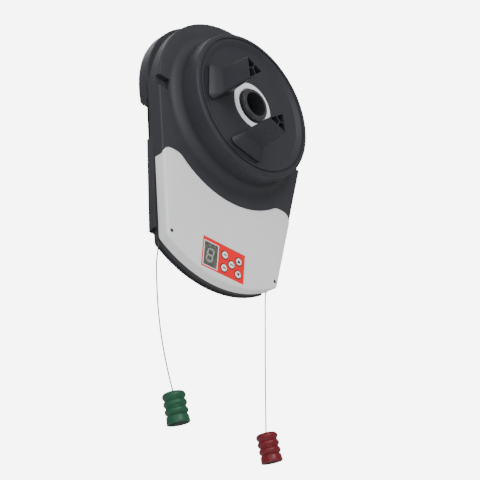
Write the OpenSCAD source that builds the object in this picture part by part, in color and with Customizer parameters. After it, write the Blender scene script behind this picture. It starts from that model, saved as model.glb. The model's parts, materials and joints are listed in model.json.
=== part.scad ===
// Roller shutter opener that slides onto the door's axle.
// The axle runs along Y through the origin, the drum and its forks face -Y, and +Z is up.
// Each piece is drawn flat, with x to the right, y up and z forward, and facing() stands it up.
// A level is a distance forward of the motor bulge's rear face.

/* [Casing] */
// Radius of the casing's round head
head_r = 140.5; // [138:0.5:150]
// Height of the head's centre above the axle
head_rise = 4.5; // [2:0.5:8]
// Taper of each side wall in degrees
side_taper = 10.6; // [9:0.2:12]
// Radius of the curved foot
foot_r = 182; // [176:1:190]
// Distance of the foot's centre below the axle
foot_drop = 82; // [78:1:90]
// Radius of the two bottom corners
corner_r = 8; // [6:0.5:12]
// Thickness of the moulded walls
wall = 2.5; // [2:0.1:3]
// Distance that the motor bulge stands behind the flat back
bulge_depth = 19; // [17:0.5:23]
// Depth of the rear housing from its flat back to the seam
rear_depth = 11; // [10.5:0.1:14]
// Depth of the front housing from the seam to its face
front_depth = 15; // [14.8:0.1:18]
// Rounding of the housings' outer edges
housing_edge_r = 2.5; // [1:0.1:4]

/* [Motor bulge] */
// Radius of the bulge
bulge_r = 121; // [119:0.5:124]
// Distance of the bulge's centre to the left of the axle
bulge_shift = 22; // [18:0.5:24]
// Height of the bulge's centre above the axle
bulge_rise = 18; // [16:0.5:20]
// Distance of the bulge's flat underside below the axle
bulge_drop = 30; // [29:0.5:36]
// Radius of the bulge's lower corners
bulge_corner_r = 8; // [5:0.5:12]
// Rounding of the bulge's rear edge
bulge_edge_r = 9; // [4:0.5:12]

/* [Front collar and drum] */
// Radius of the collar at its top
collar_r = 110; // [108:0.5:112]
// Radius where the collar meets the casing's face
collar_base_r = 124; // [118:0.5:128]
// Depth of the collar
collar_depth = 13.5; // [13:0.1:16]
// Radius of the drum at its front edge
drum_r = 108.5; // [106.5:0.5:110]
// Radius of the drum at its rear edge
drum_back_r = 110.6; // [109.5:0.1:112]
// Depth of the drum
drum_depth = 26.2; // [26:0.1:30]
// Thickness of the drum's rim wall
drum_wall = 3.6; // [3:0.1:4]
// Rounding of the drum's front edge
drum_edge_r = 3; // [1:0.1:4]
// Width of the drum's flat rim
rim_w = 9; // [7:0.5:12]
// Width of each of the two steps inside the rim
rim_step_w = 3; // [2:0.5:5]
// Depth of the drum's face behind its rim
recess_depth = 5; // [3:0.1:5]
// Thickness of the drum's face
web_wall = 3; // [2.5:0.1:3.5]

/* [Axle sleeve and bush] */
// Radius of the bore for the door's axle
axle_bore_r = 18; // [15:0.1:19]
// Outer radius of the sleeve
sleeve_r = 23.3; // [22:0.1:24.5]
// Distance that the sleeve stands out in front of the drum
sleeve_proud = 2.5; // [1:0.1:6]
// Length of the locking collar behind the casing
lock_w = 12; // [10:0.5:16]
// Outer radius of the locking collar
lock_r = 32; // [30:0.5:36]
// Radius of the bush's white flange
bush_flange_r = 35.3; // [34.5:0.1:37]
// Radius of the bush's body
bush_r = 30; // [28.5:0.1:31]
// Radius of the shallow counterbore in the flange
bush_mouth_r = 25.4; // [25.2:0.1:27]
// Thickness of the bush's flange
bush_flange_t = 3; // [2.6:0.1:3.5]

/* [Drive forks] */
// Direction midway between the two forks in degrees
fork_mid = 223.5; // [0:0.5:360]
// Angle from that direction to each fork in degrees
fork_spread = 43.5; // [40:0.5:60]
// Length of a fork in front of the drum's face
fork_len = 60; // [45:1:70]
// Distance of a fork's axis from the drum's axis
fork_reach = 62; // [60:0.5:64]
// Half the width of a fork's foot
fork_foot_half = 21; // [18:0.5:22]
// Half the width of a fork's tip
fork_tip_half = 12; // [9:0.5:14]
// Thickness of a fork's wall at the tip
fork_wall = 2.2; // [1.6:0.1:2.6]
// Thickness of the three ribs in a fork's tip
fork_rib = 1.6; // [1.2:0.1:2.4]
// Depth of the pockets in a fork's tip
fork_pocket = 26; // [15:1:36]

/* [Gears] */
// Module of the internal gear
gear_module = 2.5; // [2.4:0.01:2.55]
// Teeth of the internal gear
ring_teeth = 72;
// Teeth of the drive pinion
pinion_teeth = 12;
// Module of the worm wheel
worm_module = 1.5; // [1.4:0.01:1.6]
// Teeth of the worm wheel
wheel_teeth = 30;
// Starts of the worm's thread
worm_starts = 2;
// Pitch radius of the worm
worm_r = 8; // [7.5:0.1:9]
// Height of the worm's axis above the axle
worm_rise = 38; // [37:0.5:42]
// Level of the worm's axis
worm_level = 24; // [23.5:0.1:26]
// Radius of the motor's can
motor_r = 18; // [14:0.5:18.5]
// Length of the motor's can
motor_len = 50; // [40:1:52]

/* [Lower cover] */
// Radius of the cover's hollow upper edge, about the axle
cover_arc_r = 142.5; // [138:0.5:146]
// Distance of the cover's ears below the axle
ear_drop = 110; // [106:0.5:114]
// Radius of the ears' outer corners
ear_r = 13; // [8:0.5:16]
// Radius of the ears' inner corners
ear_inner_r = 18; // [10:0.5:22]
// Thickness of the cover's walls
cover_wall = 2.2; // [1.8:0.1:2.6]
// Height of the cover's face above the casing's face
cover_proud = 2; // [1.6:0.1:3]
// Rounding of the cover's outer edge
cover_edge_r = 3.4; // [2:0.1:4]

/* [Key panel] */
// Width of the red panel
panel_w = 75; // [72:0.5:80]
// Height of the red panel
panel_h = 42.5; // [41:0.5:44]
// Distance of the panel's centre below the axle
panel_drop = 233.5; // [232:0.5:235]
// Distance of the panel's centre to the left of the axle
panel_shift = 3; // [0:0.5:6]
// Distance of the panel's face behind the cover's face
panel_sunk = 1; // [0.6:0.1:1.4]
// Radius of a push button
button_r = 4.7; // [4:0.1:5]
// Travel of a push button
button_travel = 0.6; // [0.3:0.1:0.6]
// Spacing of the button columns
button_pitch = 12.6; // [12.2:0.1:13]
// Spacing of the outer button rows
button_row_pitch = 18.8; // [17:0.2:20]
// Width of the display window
window_w = 25.9; // [24:0.1:27]
// Height of the display window
window_h = 35.6; // [32:0.1:37]

/* [Manual release] */
// Distance of the rocker's pivot below the axle
rocker_drop = 150; // [145:1:152]
// Distance of each cord from the middle plane
cord_x = 95.5; // [94:0.1:96]
// Level of the cords
cord_level = 27; // [26.5:0.1:27.2]
// Tilt of the rocker at each end of its travel, in degrees
rocker_tilt = 9; // [5:0.5:10]
// Length of the rocker's and the cam's cranks
crank_len = 62; // [60:1:66]
// Travel of the clutch
clutch_travel = 3; // [2.4:0.1:3.2]
// Diameter of a pull cord
cord_d = 1.6; // [1.2:0.1:2]
// Largest radius of a grip
grip_r = 14; // [12:0.5:16]
// Length of a grip
grip_len = 37; // [34:1:48]
// Lean of the green grip from plumb in degrees
green_lean = 17; // [12:0.5:20]
// Lean of the red grip from plumb in degrees
red_lean = 17; // [12:0.5:20]

/* [Hidden] */
$fn = 96;

// Overrun of every cut past the face that it leaves
cut = 1;
// Gap between pieces that are seated on each other
seat = 0.2;
// Gap between pieces that turn past each other
pass = 0.3;
// Radial clearance of a running fit
run = 0.05;
// Radial clearance of a screw in its hole
screw_clear = 0.2;
// Facets of a rounded hull
soft_fn = 32;
// Steps in a rounded edge
edge_steps = 4;

// Levels of the casing
back_level = bulge_depth;
seam_level = back_level + rear_depth;
face_level = seam_level + front_depth;
cover_level = face_level + cover_proud;
collar_level = face_level + collar_depth;

// Levels of the drum
drum_back_level = collar_level + pass;
drum_level = drum_back_level + drum_depth;
web_level = drum_level - recess_depth;
web_back_level = web_level - web_wall;
sleeve_tip_level = drum_level + sleeve_proud;
fork_tip_level = web_level + fork_len;

// Places of the gears
ring_pitch_r = gear_module * ring_teeth / 2;
pinion_pitch_r = gear_module * pinion_teeth / 2;
train_dist = ring_pitch_r - pinion_pitch_r;
wheel_pitch_r = worm_module * wheel_teeth / 2;
pinion_z = worm_rise + wheel_pitch_r + worm_r;
pinion_x = -sqrt(pow(train_dist, 2) - pow(pinion_z, 2));
pinion_at = [pinion_x, pinion_z];
pinion_angle = atan2(pinion_z, pinion_x);

// Shares that shape the gear teeth, of the module or of the tooth pitch
tip_share = 0.8;
root_share = 1.1;
tooth_share = 0.45;
tooth_tip_share = 0.2;
tooth_root_share = 0.56;
space_root_share = 0.33;
space_tip_share = 0.78;

// Gearbox
shaft_r = 5;
bush_wall = 3;
case_wall = 3;
wheel_w = 8;
wheel_gap = 1.3;
case_r = wheel_pitch_r + worm_module + wheel_gap + case_wall;
worm_gap = 0.9;
case_back_level = worm_level - worm_r - worm_module - worm_gap - 2 * case_wall + wheel_gap;
dog_depth = 2;
dog_reach = 2;
collar_t = 4;
groove_t = 1.6;
clutch_r = 12;
neck_r = 9;
fork_plate_t = 1.2;
clutch_level = worm_level + wheel_w / 2 + pass;
clutch_top = clutch_level + collar_t;
case_level = clutch_top + clutch_travel + seat;
lid_t = 2;
lid_level = case_level + lid_t;
cam_t = 1.4;
cam_boss_r = 8;
cam_level = lid_level + pass;
cam_r = 13;
worm_len = 18;
worm_shaft_r = 2.5;
worm_bay_left = 22.5;
worm_bay_right = 17;
lug_r = 4.5;
lug_dist = 31;
lug_angles = [40, 160, 320];
lug_bore_r = 1.6;
lug_sink_r = 3.2;

// Chassis plate
plate_t = 3;
plate_level = collar_level - wall - seat;
plate_r = 60;
plate_lobe_r = 38;
plate_screw_dist = 50;
plate_screw_angles = [0, 60, 200, 290];
sleeve_flange_r = 34;
sleeve_flange_t = 3.2;

// Screws
screw_r = 1.8;
screw_head_r = 3.6;
screw_head_t = 2.2;
post_r = 5;
small_screw_r = 1.4;
small_head_r = 2.4;
small_head_t = 1;
small_recess = 0.2;
slot_depth = 0.4;

// Casing screws, as angles about the head on a circle inside its edge, and as places on the flanks
screw_inset = 10;
head_screw_angles = [62, 36, 6];
flank_screw_drops = [60, 212];
flank_screw_insets = [10, 16];
// Long screw through the bulge, as an angle about the head
bulge_screw_angle = 138;
small_post_r = 4;

// Cover
cover_gap = 0.3;
cover_inside_level = face_level + seat / 2;
cover_screw_x = 92.5;
cover_screw_drop = 227.8;
service_w = 112;
service_h = 58;
service_rise = 8;

// Key panel
panel_t = 2;
panel_level = cover_level - panel_sunk;
floor_t = 1.8;
pocket_level = panel_level - panel_t;
pocket_slope = 1.4;
panel_gap = 0.3;
panel_x = -panel_shift;
panel_y = -panel_drop;
window_x = panel_x - panel_w / 2 + window_w / 2 + 2.4 * panel_sunk;
window_y = panel_y - panel_sunk;
frame_t = 1;
frame_proud = 0.3;
pane_t = 1.2;
button_proud = 0.9;
button_rim = 1.1;
button_flange_t = 1.1;
button_stem_r = 2;
button_gap = 0.25;
button_x = panel_x + 1.7 * panel_sunk;
button_y = panel_y - panel_sunk;
// Places of the five buttons, in columns from the left and rows from the middle
button_columns = [0, 0, 1, 2, 2];
button_rows = [0.5, -0.5, 0, 0.5, -0.5];

// Control board
board_t = 1.6;
board_w = 108;
board_h = 51;
board_drop = 224;
board_level = seam_level + 2.6;
board_screw_inset = 5;
switch_w = 6;
switch_t = 3.4;
plunger_r = 1.7;
plunger_t = 1.8;
relay_w = 15;
relay_l = 20;
relay_t = 8.5;
terminal_w = 40;
terminal_h = 8;
capacitor_r = 5;
capacitor_l = 20;
chip_w = 12;
chip_t = 2;
display_w = 19;
display_h = 28;
display_gap = 0.6;

// Transformer
core_w = 46;
core_h = 38;
core_t = 16;
core_leg = 6;
coil_h = 21;
coil_t = 34;
coil_gap = 0.2;
core_x = -102;
core_y = -6;
core_level = 22;
core_post_r = 3.5;

// Release gear
rocker_t = 3;
rocker_level = cord_level - rocker_t / 2;
rocker_hub_r = 11;
rocker_pin_r = 4;
rocker_bar_w = 11;
rocker_end_r = 6.8;
rocker_eye_r = 3.4;
rocker_arm = 2 * cord_x / (1 + cos(rocker_tilt));
knot_r = 2.6;
eye_slot = 1.9;
eye_slot_end = 2.8;
rocker_post_r = 8;
crank_pin_r = 3;
link_w = 8;
link_eye_r = 5.5;
link_t = 2;
link_level = rocker_level + rocker_t + pass;
crank_pin_level = link_level + link_t + pass;
link_rocker_at = [0, -rocker_drop] + crank_len * [cos(rocker_tilt), sin(rocker_tilt)];
link_cam_at = pinion_at + crank_len * [cos(rocker_tilt), sin(rocker_tilt)];
cam_slot_r = 18;
shift_pin_r = 2;

// Cord exits
bush_len = 9;
bush_bore_r = 1.3;
bush_tube_r = 2.3;
exit_block_w = 10;
exit_z = -236.5;

// Grip
bead_r = 4.5;
grip_core_r = 11.6;
grip_wall = 2.2;
grip_top_t = 4;
bead_pitch = 9;
skirt_len = 10;

// Locking collar, circlip and grommet
lock_screw_r = 3;
clip_t = 1.5;
clip_groove = 1.1;
clip_r = bush_mouth_r - seat;
clip_gap_w = 9;
boss_wall = 4.5;
thrust_h = 2.7;
grommet_r = 7;
grommet_lip_r = 9;
grommet_x = 60;
grommet_drop = 120;
grommet_lip_t = 2;

// Vent slots in the bulge's rear
vent_w = 3;
vent_l = 34;
vent_pitch = 8;
vent_count = 5;

// Side rails on the rear housing
rail_drop = 92;
rail_end_drop = 221;
rail_proud = 5;

// Latch pockets at both sides of the head
latch_x = 122;
latch_drop = 8;
latch_h = 17;
latch_depth = 7;

// Routes of the two free cords, from the exits to the grips
green_route = [
    [-95.5, -27, -236.5], [-95.5, -27, -242.5], [-95.5, -27, -248.5], [-95.5, -27, -254.5],
    [-95.5, -27, -260.5], [-95.4, -27, -266.5], [-94.9, -27.1, -272.5], [-94.2, -27.3, -278.5],
    [-93.4, -27.5, -284.5], [-92.6, -27.7, -290.5], [-91.8, -27.9, -296.5], [-90.9, -28.1, -302.5],
    [-90, -28.4, -308.5], [-89.1, -28.7, -314.5], [-88.1, -29, -320.5], [-87, -29.3, -326.5],
    [-85.8, -29.6, -332.5], [-84.5, -29.9, -338.5], [-83.2, -30.2, -344.5], [-81.8, -30.6, -350.5],
    [-80.3, -31, -356.5], [-78.7, -31.4, -362.5], [-77.1, -31.8, -368.5], [-75.4, -32.3, -374.5],
    [-73.6, -32.8, -380.5], [-71.7, -33.3, -386.5], [-69.8, -33.8, -392.5], [-67.8, -34.3, -398.5],
    [-65.7, -34.8, -404.5], [-63.5, -35.4, -410.5], [-61.3, -36, -416.5], [-59, -36.6, -422.5],
    [-57.8, -36.9, -425.5]
];
red_route = [
    [95.5, -27, -236.5], [95.5, -27, -242.5], [95.6, -27, -248.5], [95.8, -27.1, -254.5],
    [96, -27.1, -260.5], [96.3, -27.2, -266.5], [96.6, -27.3, -272.5], [96.9, -27.4, -278.5],
    [97.2, -27.4, -284.5], [97.5, -27.5, -290.5], [97.8, -27.6, -296.5], [98.1, -27.7, -302.5],
    [98.4, -27.7, -308.5], [98.7, -27.8, -314.5], [99, -27.9, -320.5], [99.3, -28, -326.5],
    [99.6, -28, -332.5], [99.9, -28.1, -338.5], [100.3, -28.2, -344.5], [100.6, -28.3, -350.5],
    [100.9, -28.4, -356.5], [101.3, -28.5, -362.5], [101.6, -28.5, -368.5], [102, -28.6, -374.5],
    [102.3, -28.7, -380.5], [102.7, -28.8, -386.5], [103, -28.9, -392.5], [103.4, -29, -398.5],
    [103.7, -29.1, -404.5], [104.1, -29.2, -410.5], [104.5, -29.3, -416.5], [104.8, -29.3, -422.5],
    [105.2, -29.4, -428.5], [105.5, -29.5, -432.5]
];

// Colours
dark = [0.13, 0.13, 0.14];
pale = [0.76, 0.76, 0.76];
steel = [0.62, 0.63, 0.65];
nylon = [0.88, 0.88, 0.9];

function unit(a) = [cos(a), sin(a)];
function arc(c, r, a0, a1, n) = [for (i = [0:n]) c + r * unit(a0 + (a1 - a0) * i / n)];

// Casing outline: a round head, two tapered flanks that leave it tangentially, and a curved foot
flank_normal = unit(-side_taper);
flank_down = [-sin(side_taper), -cos(side_taper)];
head_at = [0, head_rise];
foot_at = [0, -foot_drop];
function on_flank(r, t) = head_at + (head_r - r) * flank_normal + t * flank_down;
function corner_run(p) = -p * flank_down
    + sqrt(pow(p * flank_down, 2) - p * p + pow(foot_r - corner_r, 2));
corner_at = on_flank(corner_r, corner_run(on_flank(corner_r, 0) - foot_at));
corner_dir = atan2(corner_at.y - foot_at.y, corner_at.x);
function flip(p) = [-p.x, p.y];
// Half width of the casing at a distance below the axle
function half_width(drop) = on_flank(0, (head_rise - head_r * sin(side_taper) + drop)
    / cos(side_taper)).x;

head_steps = 44;
foot_steps = 18;
corner_steps = 4;
function casing_points(d) = concat(
    arc(head_at, head_r - d, -side_taper, 180 + side_taper, head_steps),
    arc(flip(corner_at), corner_r - d, 180 + side_taper, 180 - corner_dir, corner_steps),
    arc(foot_at, foot_r - d, 180 - corner_dir, 360 + corner_dir, foot_steps),
    arc(corner_at, corner_r - d, 360 + corner_dir, 360 - side_taper, corner_steps));

// Cover outline: the casing's foot, two round ears and a hollow upper edge about the axle
ear_y = -ear_drop - ear_r;
ear_at = on_flank(ear_r, (on_flank(ear_r, 0).y - ear_y) / cos(side_taper));
ear_inner_y = -ear_drop - ear_inner_r;
ear_inner_at = [sqrt(pow(cover_arc_r + ear_inner_r, 2) - pow(ear_inner_y, 2)), ear_inner_y];
ear_dir = atan2(ear_inner_at.y, ear_inner_at.x);
function cover_points(d) = concat(
    arc(flip(corner_at), corner_r - d, 180 + side_taper, 180 - corner_dir, corner_steps),
    arc(foot_at, foot_r - d, 180 - corner_dir, 360 + corner_dir, foot_steps),
    arc(corner_at, corner_r - d, 360 + corner_dir, 360 - side_taper, corner_steps),
    arc(ear_at, ear_r - d, -side_taper, 90, corner_steps),
    arc(ear_inner_at, ear_inner_r - d, 90, 180 + ear_dir, corner_steps),
    arc([0, 0], cover_arc_r + d, ear_dir, -180 - ear_dir, foot_steps),
    arc(flip(ear_inner_at), ear_inner_r - d, -ear_dir, 90, corner_steps),
    arc(flip(ear_at), ear_r - d, 90, 180 + side_taper, corner_steps));
// The cover's outline as round-cornered ends and, between them, strips from foot to hollow edge
foot_i = corner_steps + 1;
foot_end = foot_i + foot_steps;
hollow_i = foot_end + 3 * (corner_steps + 1) + 1;
hollow_end = hollow_i + foot_steps;
cover_parts = concat(
    [[for (i = [foot_end:hollow_i]) i]],
    [for (i = [0:foot_steps - 1])
        [foot_i + i, foot_i + i + 1, hollow_end - i - 1, hollow_end - i]],
    [concat([for (i = [hollow_end:hollow_end + 2 * (corner_steps + 1)]) i],
        [for (i = [0:foot_i]) i])]);

// Bulge outline: a round drum off the axle with a flat underside
bulge_at = [-bulge_shift, bulge_rise];
bulge_corner_y = -bulge_drop + bulge_corner_r;
bulge_corner_x = sqrt(pow(bulge_r - bulge_corner_r, 2) - pow(bulge_corner_y - bulge_rise, 2));
bulge_corner_at = [bulge_corner_x - bulge_shift, bulge_corner_y];
bulge_corner_flip = [-bulge_corner_x - bulge_shift, bulge_corner_y];
bulge_dir = atan2(bulge_corner_y - bulge_rise, bulge_corner_x);
// Share of an inset by which the lower corners' radius shrinks, so that it stays above nothing
bulge_corner_share = (bulge_corner_r - 1) / bulge_edge_r;
function bulge_points(d) = concat(
    arc(bulge_at, bulge_r - d, bulge_dir, 180 - bulge_dir, head_steps),
    arc(bulge_corner_flip, bulge_corner_r - d * bulge_corner_share,
        180 - bulge_dir, 270, corner_steps),
    arc(bulge_corner_at, bulge_corner_r - d * bulge_corner_share,
        270, 360 + bulge_dir, corner_steps));

// Steps of an edge rounding, as an inset and a level each
function round_front(z0, z1, r) = concat([[0, z0]],
    [for (i = [0:edge_steps]) [r * (1 - cos(90 * i / edge_steps)),
        z1 - r * (1 - sin(90 * i / edge_steps))]]);
function round_back(z0, z1, r) = concat(
    [for (i = [0:edge_steps]) [r * (1 - sin(90 * i / edge_steps)),
        z0 + r * (1 - cos(90 * i / edge_steps))]], [[0, z1]]);
function ring_at(points, z) = [for (p = points) [p.x, p.y, z]];

// Closed skin through a stack of outlines with equal counts of points.
// The end faces of a hollow outline are given as parts that aren't hollow.
module loft(rings, parts = []) {
    n = len(rings[0]);
    top = (len(rings) - 1) * n;
    ends = len(parts) > 0 ? parts : [[for (j = [0:n - 1]) j]];
    polyhedron(
        points = [for (ring = rings) each ring],
        faces = concat(
            ends,
            [for (i = [0:len(rings) - 2], j = [0:n - 1])
                [i * n + j, (i + 1) * n + j, (i + 1) * n + (j + 1) % n, i * n + (j + 1) % n]],
            [for (e = ends) [for (j = [len(e) - 1:-1:0]) top + e[j]]]),
        convexity = 6);
}

module facing() rotate([90, 0, 0]) children();
module at_level(p, z) translate([p.x, p.y, z]) children();
module slab(points, z0, z1) translate([0, 0, z0]) linear_extrude(z1 - z0) polygon(points);
module plate(p, w, h, z0, z1)
    translate([p.x - w / 2, p.y - h / 2, z0]) cube([w, h, z1 - z0]);
module rod(p, r, z0, z1) translate([p.x, p.y, z0]) cylinder(h = z1 - z0, r = r);
module both_sides() {
    children();
    mirror([1, 0, 0]) children();
}

// Gear outline of six points a tooth
function gear_points(teeth, radii, widths, turn) = [
    for (i = [0:teeth - 1], k = [0:5])
        let (m = min(k, 5 - k), side = k < 3 ? -1 : 1, r = radii[m])
            r * unit(turn + 360 * i / teeth + side * widths[m] / r * 90 / PI)];
ring_pitch = gear_module * PI;
worm_pitch = worm_module * PI;

// Places of the casing's screws
head_screws = [for (a = head_screw_angles) head_at + (head_r - screw_inset) * unit(a)];
flank_screws = [for (s = [-1, 1], i = [0, 1])
    [s * (half_width(flank_screw_drops[i]) - flank_screw_insets[i]), -flank_screw_drops[i]]];
casing_screws = concat(head_screws, flank_screws);
bulge_screw = head_at + (head_r - screw_inset) * unit(bulge_screw_angle);
board_screw_places = [for (s = [-1, 1], t = [-1, 1])
    [s * (board_w / 2 - board_screw_inset), -board_drop + t * (board_h / 2 - board_screw_inset)]];
core_posts = [for (s = [-1, 1], t = [-1, 1])
    [core_x + s * (core_w / 2 - core_post_r), core_y + t * (core_h / 2 - core_post_r)]];

module rear_shell() {
    difference() {
        union() {
            loft([for (s = round_back(back_level, seam_level, housing_edge_r))
                ring_at(casing_points(s[0]), s[1])]);
            loft([for (s = round_back(0, back_level + wall, bulge_edge_r))
                ring_at(bulge_points(s[0]), s[1])]);
            both_sides() slab([
                [half_width(rail_drop) - wall, -rail_drop],
                [half_width(rail_drop), -rail_drop],
                [half_width(rail_end_drop) + rail_proud, -rail_end_drop],
                [half_width(rail_end_drop) - wall, -rail_end_drop]],
                back_level, seam_level - wall);
        }
        slab(casing_points(wall), back_level + wall, seam_level + cut);
        intersection() {
            at_level(bulge_at, 0) rotate_extrude() polygon(concat([[0, back_level]],
                [[0, wall]], [for (s = round_back(wall, back_level, bulge_edge_r - wall))
                    [bulge_r - wall - s[0], s[1]]]));
            translate([-2 * bulge_r, -bulge_drop + 2 * wall, 0])
                cube([4 * bulge_r, 2 * bulge_r, seam_level]);
        }
        intersection() {
            slab(bulge_points(wall + cut), back_level - cut, seam_level);
            slab(casing_points(wall), back_level - 2 * cut, seam_level + cut);
        }
    }
}

module rear_housing() color(dark) facing() difference() {
    union() {
        rear_shell();
        for (p = casing_screws) rod(p, post_r, back_level, seam_level);
        rod(bulge_screw, post_r, wall / 2, seam_level);
        for (p = board_screw_places) rod(p, post_r, back_level + wall / 2, board_level);
        intersection() {
            slab(casing_points(wall / 2), back_level + wall / 2, seam_level);
            both_sides() plate([cord_x, exit_z + bush_len / 2], exit_block_w, bush_len + wall,
                back_level, seam_level + cut);
        }
        for (p = core_posts) rod(p, core_post_r, wall / 2, core_level - core_t / 2 - seat);
        rod([0, 0], sleeve_r + boss_wall, wall / 2, case_back_level - seat);
        rod([0, -rocker_drop], rocker_post_r, back_level + wall / 2, rocker_level - pass);
        rod([0, -rocker_drop], rocker_pin_r, back_level + wall, crank_pin_level);
    }
    rod([0, 0], sleeve_r + seat, -cut, case_back_level + cut);
    for (p = casing_screws) {
        rod(p, screw_r + screw_clear, back_level - cut, seam_level + cut);
        rod(p, screw_head_r + screw_clear, back_level - cut, back_level + screw_head_t + seat);
    }
    rod(bulge_screw, screw_r + screw_clear, -cut, seam_level + cut);
    rod(bulge_screw, screw_head_r + screw_clear, -cut, screw_head_t + seat);
    for (p = board_screw_places) rod(p, small_screw_r, back_level + wall, board_level + cut);
    for (i = [0:vent_count - 1])
        plate([core_x, core_y + (i - (vent_count - 1) / 2) * vent_pitch], vent_l, vent_w,
            -cut, wall + cut);
    rod([grommet_x, -grommet_drop], grommet_r, back_level - cut, back_level + wall + cut);
    both_sides() translate([cord_x, exit_z - cut, cord_level]) rotate([-90, 0, 0])
        cylinder(h = bush_len + wall + 2 * cut, r = bush_tube_r + seat / 2);
}

module front_housing() color(dark) facing() difference() {
    union() {
        difference() {
            union() {
                difference() {
                    loft([for (s = round_front(seam_level, face_level, housing_edge_r))
                        ring_at(casing_points(s[0]), s[1])]);
                    slab(cover_points(-cover_gap), seam_level - cut, face_level + cut);
                }
                slab(casing_points(cover_wall + cover_gap), seam_level, face_level);
                rotate_extrude() polygon(concat(
                    [[0, face_level - wall], [collar_base_r, face_level - wall],
                     [collar_base_r, face_level]],
                    [for (i = [1:edge_steps * 2])
                        let (a = 90 * i / edge_steps / 2)
                        [collar_base_r - (collar_base_r - collar_r) * sin(a),
                         collar_level - (collar_level - face_level) * cos(a)]],
                    [[0, collar_level]]));
            }
            difference() {
                slab(casing_points(wall), seam_level - cut, face_level - wall);
                slab(cover_points(-cover_gap - wall), seam_level - 2 * cut, face_level);
            }
            slab(casing_points(cover_wall + cover_gap + wall), seam_level - cut,
                face_level - wall);
            rod([0, 0], collar_r - wall, seam_level, collar_level - wall);
            plate([0, -board_drop + service_rise / 2], service_w, service_h,
                face_level - wall - cut, face_level + cut);
            plate([panel_x, panel_y], panel_w + 2 * wall + 2 * pass, panel_h + 2 * wall + 2 * pass,
                pocket_level - floor_t - pass, face_level + cut);
        }
        for (p = concat(casing_screws, [bulge_screw])) rod(p, post_r, seam_level,
            face_level - wall / 2);
        both_sides() rod([cover_screw_x, -cover_screw_drop], small_post_r, seam_level,
            face_level - wall / 2);
        intersection() {
            slab(casing_points(wall / 2), seam_level, face_level - wall / 2);
            both_sides() translate([latch_x - wall, -latch_drop - latch_h - wall,
                face_level - latch_depth - wall])
                cube([head_r, latch_h + 2 * wall, latch_depth + wall]);
        }
        rod([0, 0], sleeve_r + boss_wall, collar_level - wall / 2, collar_level + thrust_h);
    }
    rod([0, 0], sleeve_r + seat, seam_level, collar_level + thrust_h + cut);
    rod(pinion_at, pinion_pitch_r + gear_module + wheel_gap, seam_level, collar_level + cut);
    for (p = concat(casing_screws, [bulge_screw])) rod(p, screw_r + screw_clear / 2,
        seam_level - cut, seam_level + front_depth / 2 + cut);
    both_sides() rod([cover_screw_x, -cover_screw_drop], small_screw_r + screw_clear / 2,
        seam_level + wall, face_level + cut);
    for (a = plate_screw_angles) rod(plate_screw_dist * unit(a), screw_r + screw_clear,
        collar_level - 2 * wall, collar_level + cut);
    both_sides() translate([latch_x, -latch_drop - latch_h, face_level - latch_depth])
        cube([head_r, latch_h, latch_depth + cut]);
}

module lower_cover() color(pale) facing() difference() {
    union() {
        difference() {
            loft([for (s = round_front(seam_level - cut, cover_level, cover_edge_r))
                ring_at(cover_points(s[0]), s[1])], cover_parts);
            slab(casing_points(cover_wall), seam_level - 2 * cut, cover_inside_level);
            slab(casing_points(-cut), seam_level - 2 * cut, seam_level);
        }
        intersection() {
            plate([panel_x, panel_y], panel_w + 2 * wall, panel_h + 2 * wall,
                pocket_level - floor_t, cover_level - panel_sunk);
            slab(cover_points(cover_wall / 2), seam_level, cover_level);
        }
    }
    plate([panel_x, panel_y], panel_w + 2 * panel_gap, panel_h + 2 * panel_gap,
        pocket_level, cover_level + cut);
    plate([window_x, window_y], window_w, window_h, pocket_level - floor_t - cut, cover_level);
    for (i = [0:4]) rod(button_at(i), button_r + button_gap, pocket_level - floor_t - cut,
        cover_level);
    both_sides() {
        rod([cover_screw_x, -cover_screw_drop], small_screw_r + screw_clear,
            face_level - cut, cover_level + cut);
        rod([cover_screw_x, -cover_screw_drop], small_head_r + screw_clear,
            cover_level - small_recess - small_head_t, cover_level + cut);
    }
}

function button_at(i) = [button_x + button_columns[i] * button_pitch,
    button_y + button_rows[i] * button_row_pitch];

module cover_screws() color(steel) facing() both_sides() {
    at_level([cover_screw_x, -cover_screw_drop], cover_level - small_recess - small_head_t + seat / 2)
        difference() {
            cylinder(h = small_head_t, r = small_head_r);
            plate([0, 0], 2 * small_head_r - slot_depth, slot_depth, small_head_t - slot_depth,
                small_head_t + cut);
        }
    rod([cover_screw_x, -cover_screw_drop], small_screw_r,
        face_level - 3 * wall, cover_level - small_recess - small_head_t + seat);
}

module housing_screws() color(steel) facing() {
    for (p = casing_screws) housing_screw(p, back_level);
    housing_screw(bulge_screw, 0);
}

module housing_screw(p, back_level) {
    difference() {
        rod(p, screw_head_r, back_level + seat / 2, back_level + screw_head_t);
        plate(p, screw_head_r, 2 * slot_depth, back_level - cut, back_level + 2 * slot_depth);
        plate(p, 2 * slot_depth, screw_head_r, back_level - cut, back_level + 2 * slot_depth);
    }
    rod(p, screw_r, back_level + screw_head_t - seat, seam_level + front_depth / 2);
}

module key_panel() color([0.88, 0.2, 0.16]) facing() difference() {
    plate([panel_x, panel_y], panel_w, panel_h, pocket_level, panel_level);
    plate([window_x, window_y], window_w, window_h, pocket_level - cut, panel_level + cut);
    for (i = [0:4]) rod(button_at(i), button_r + button_gap, pocket_level - cut,
        panel_level + cut);
}

module window_frame() color("white") facing() difference() {
    plate([window_x, window_y], window_w - seat, window_h - seat,
        pocket_level, panel_level + frame_proud);
    plate([window_x, window_y], window_w - seat - 2 * frame_t, window_h - seat - 2 * frame_t,
        pocket_level - cut, panel_level + cut);
}

module display_window() color([0.6, 0.62, 0.6, 0.4]) facing()
    plate([window_x, window_y], window_w - 2 * seat - 2 * frame_t,
        window_h - 2 * seat - 2 * frame_t, panel_level - pane_t, panel_level);

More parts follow.
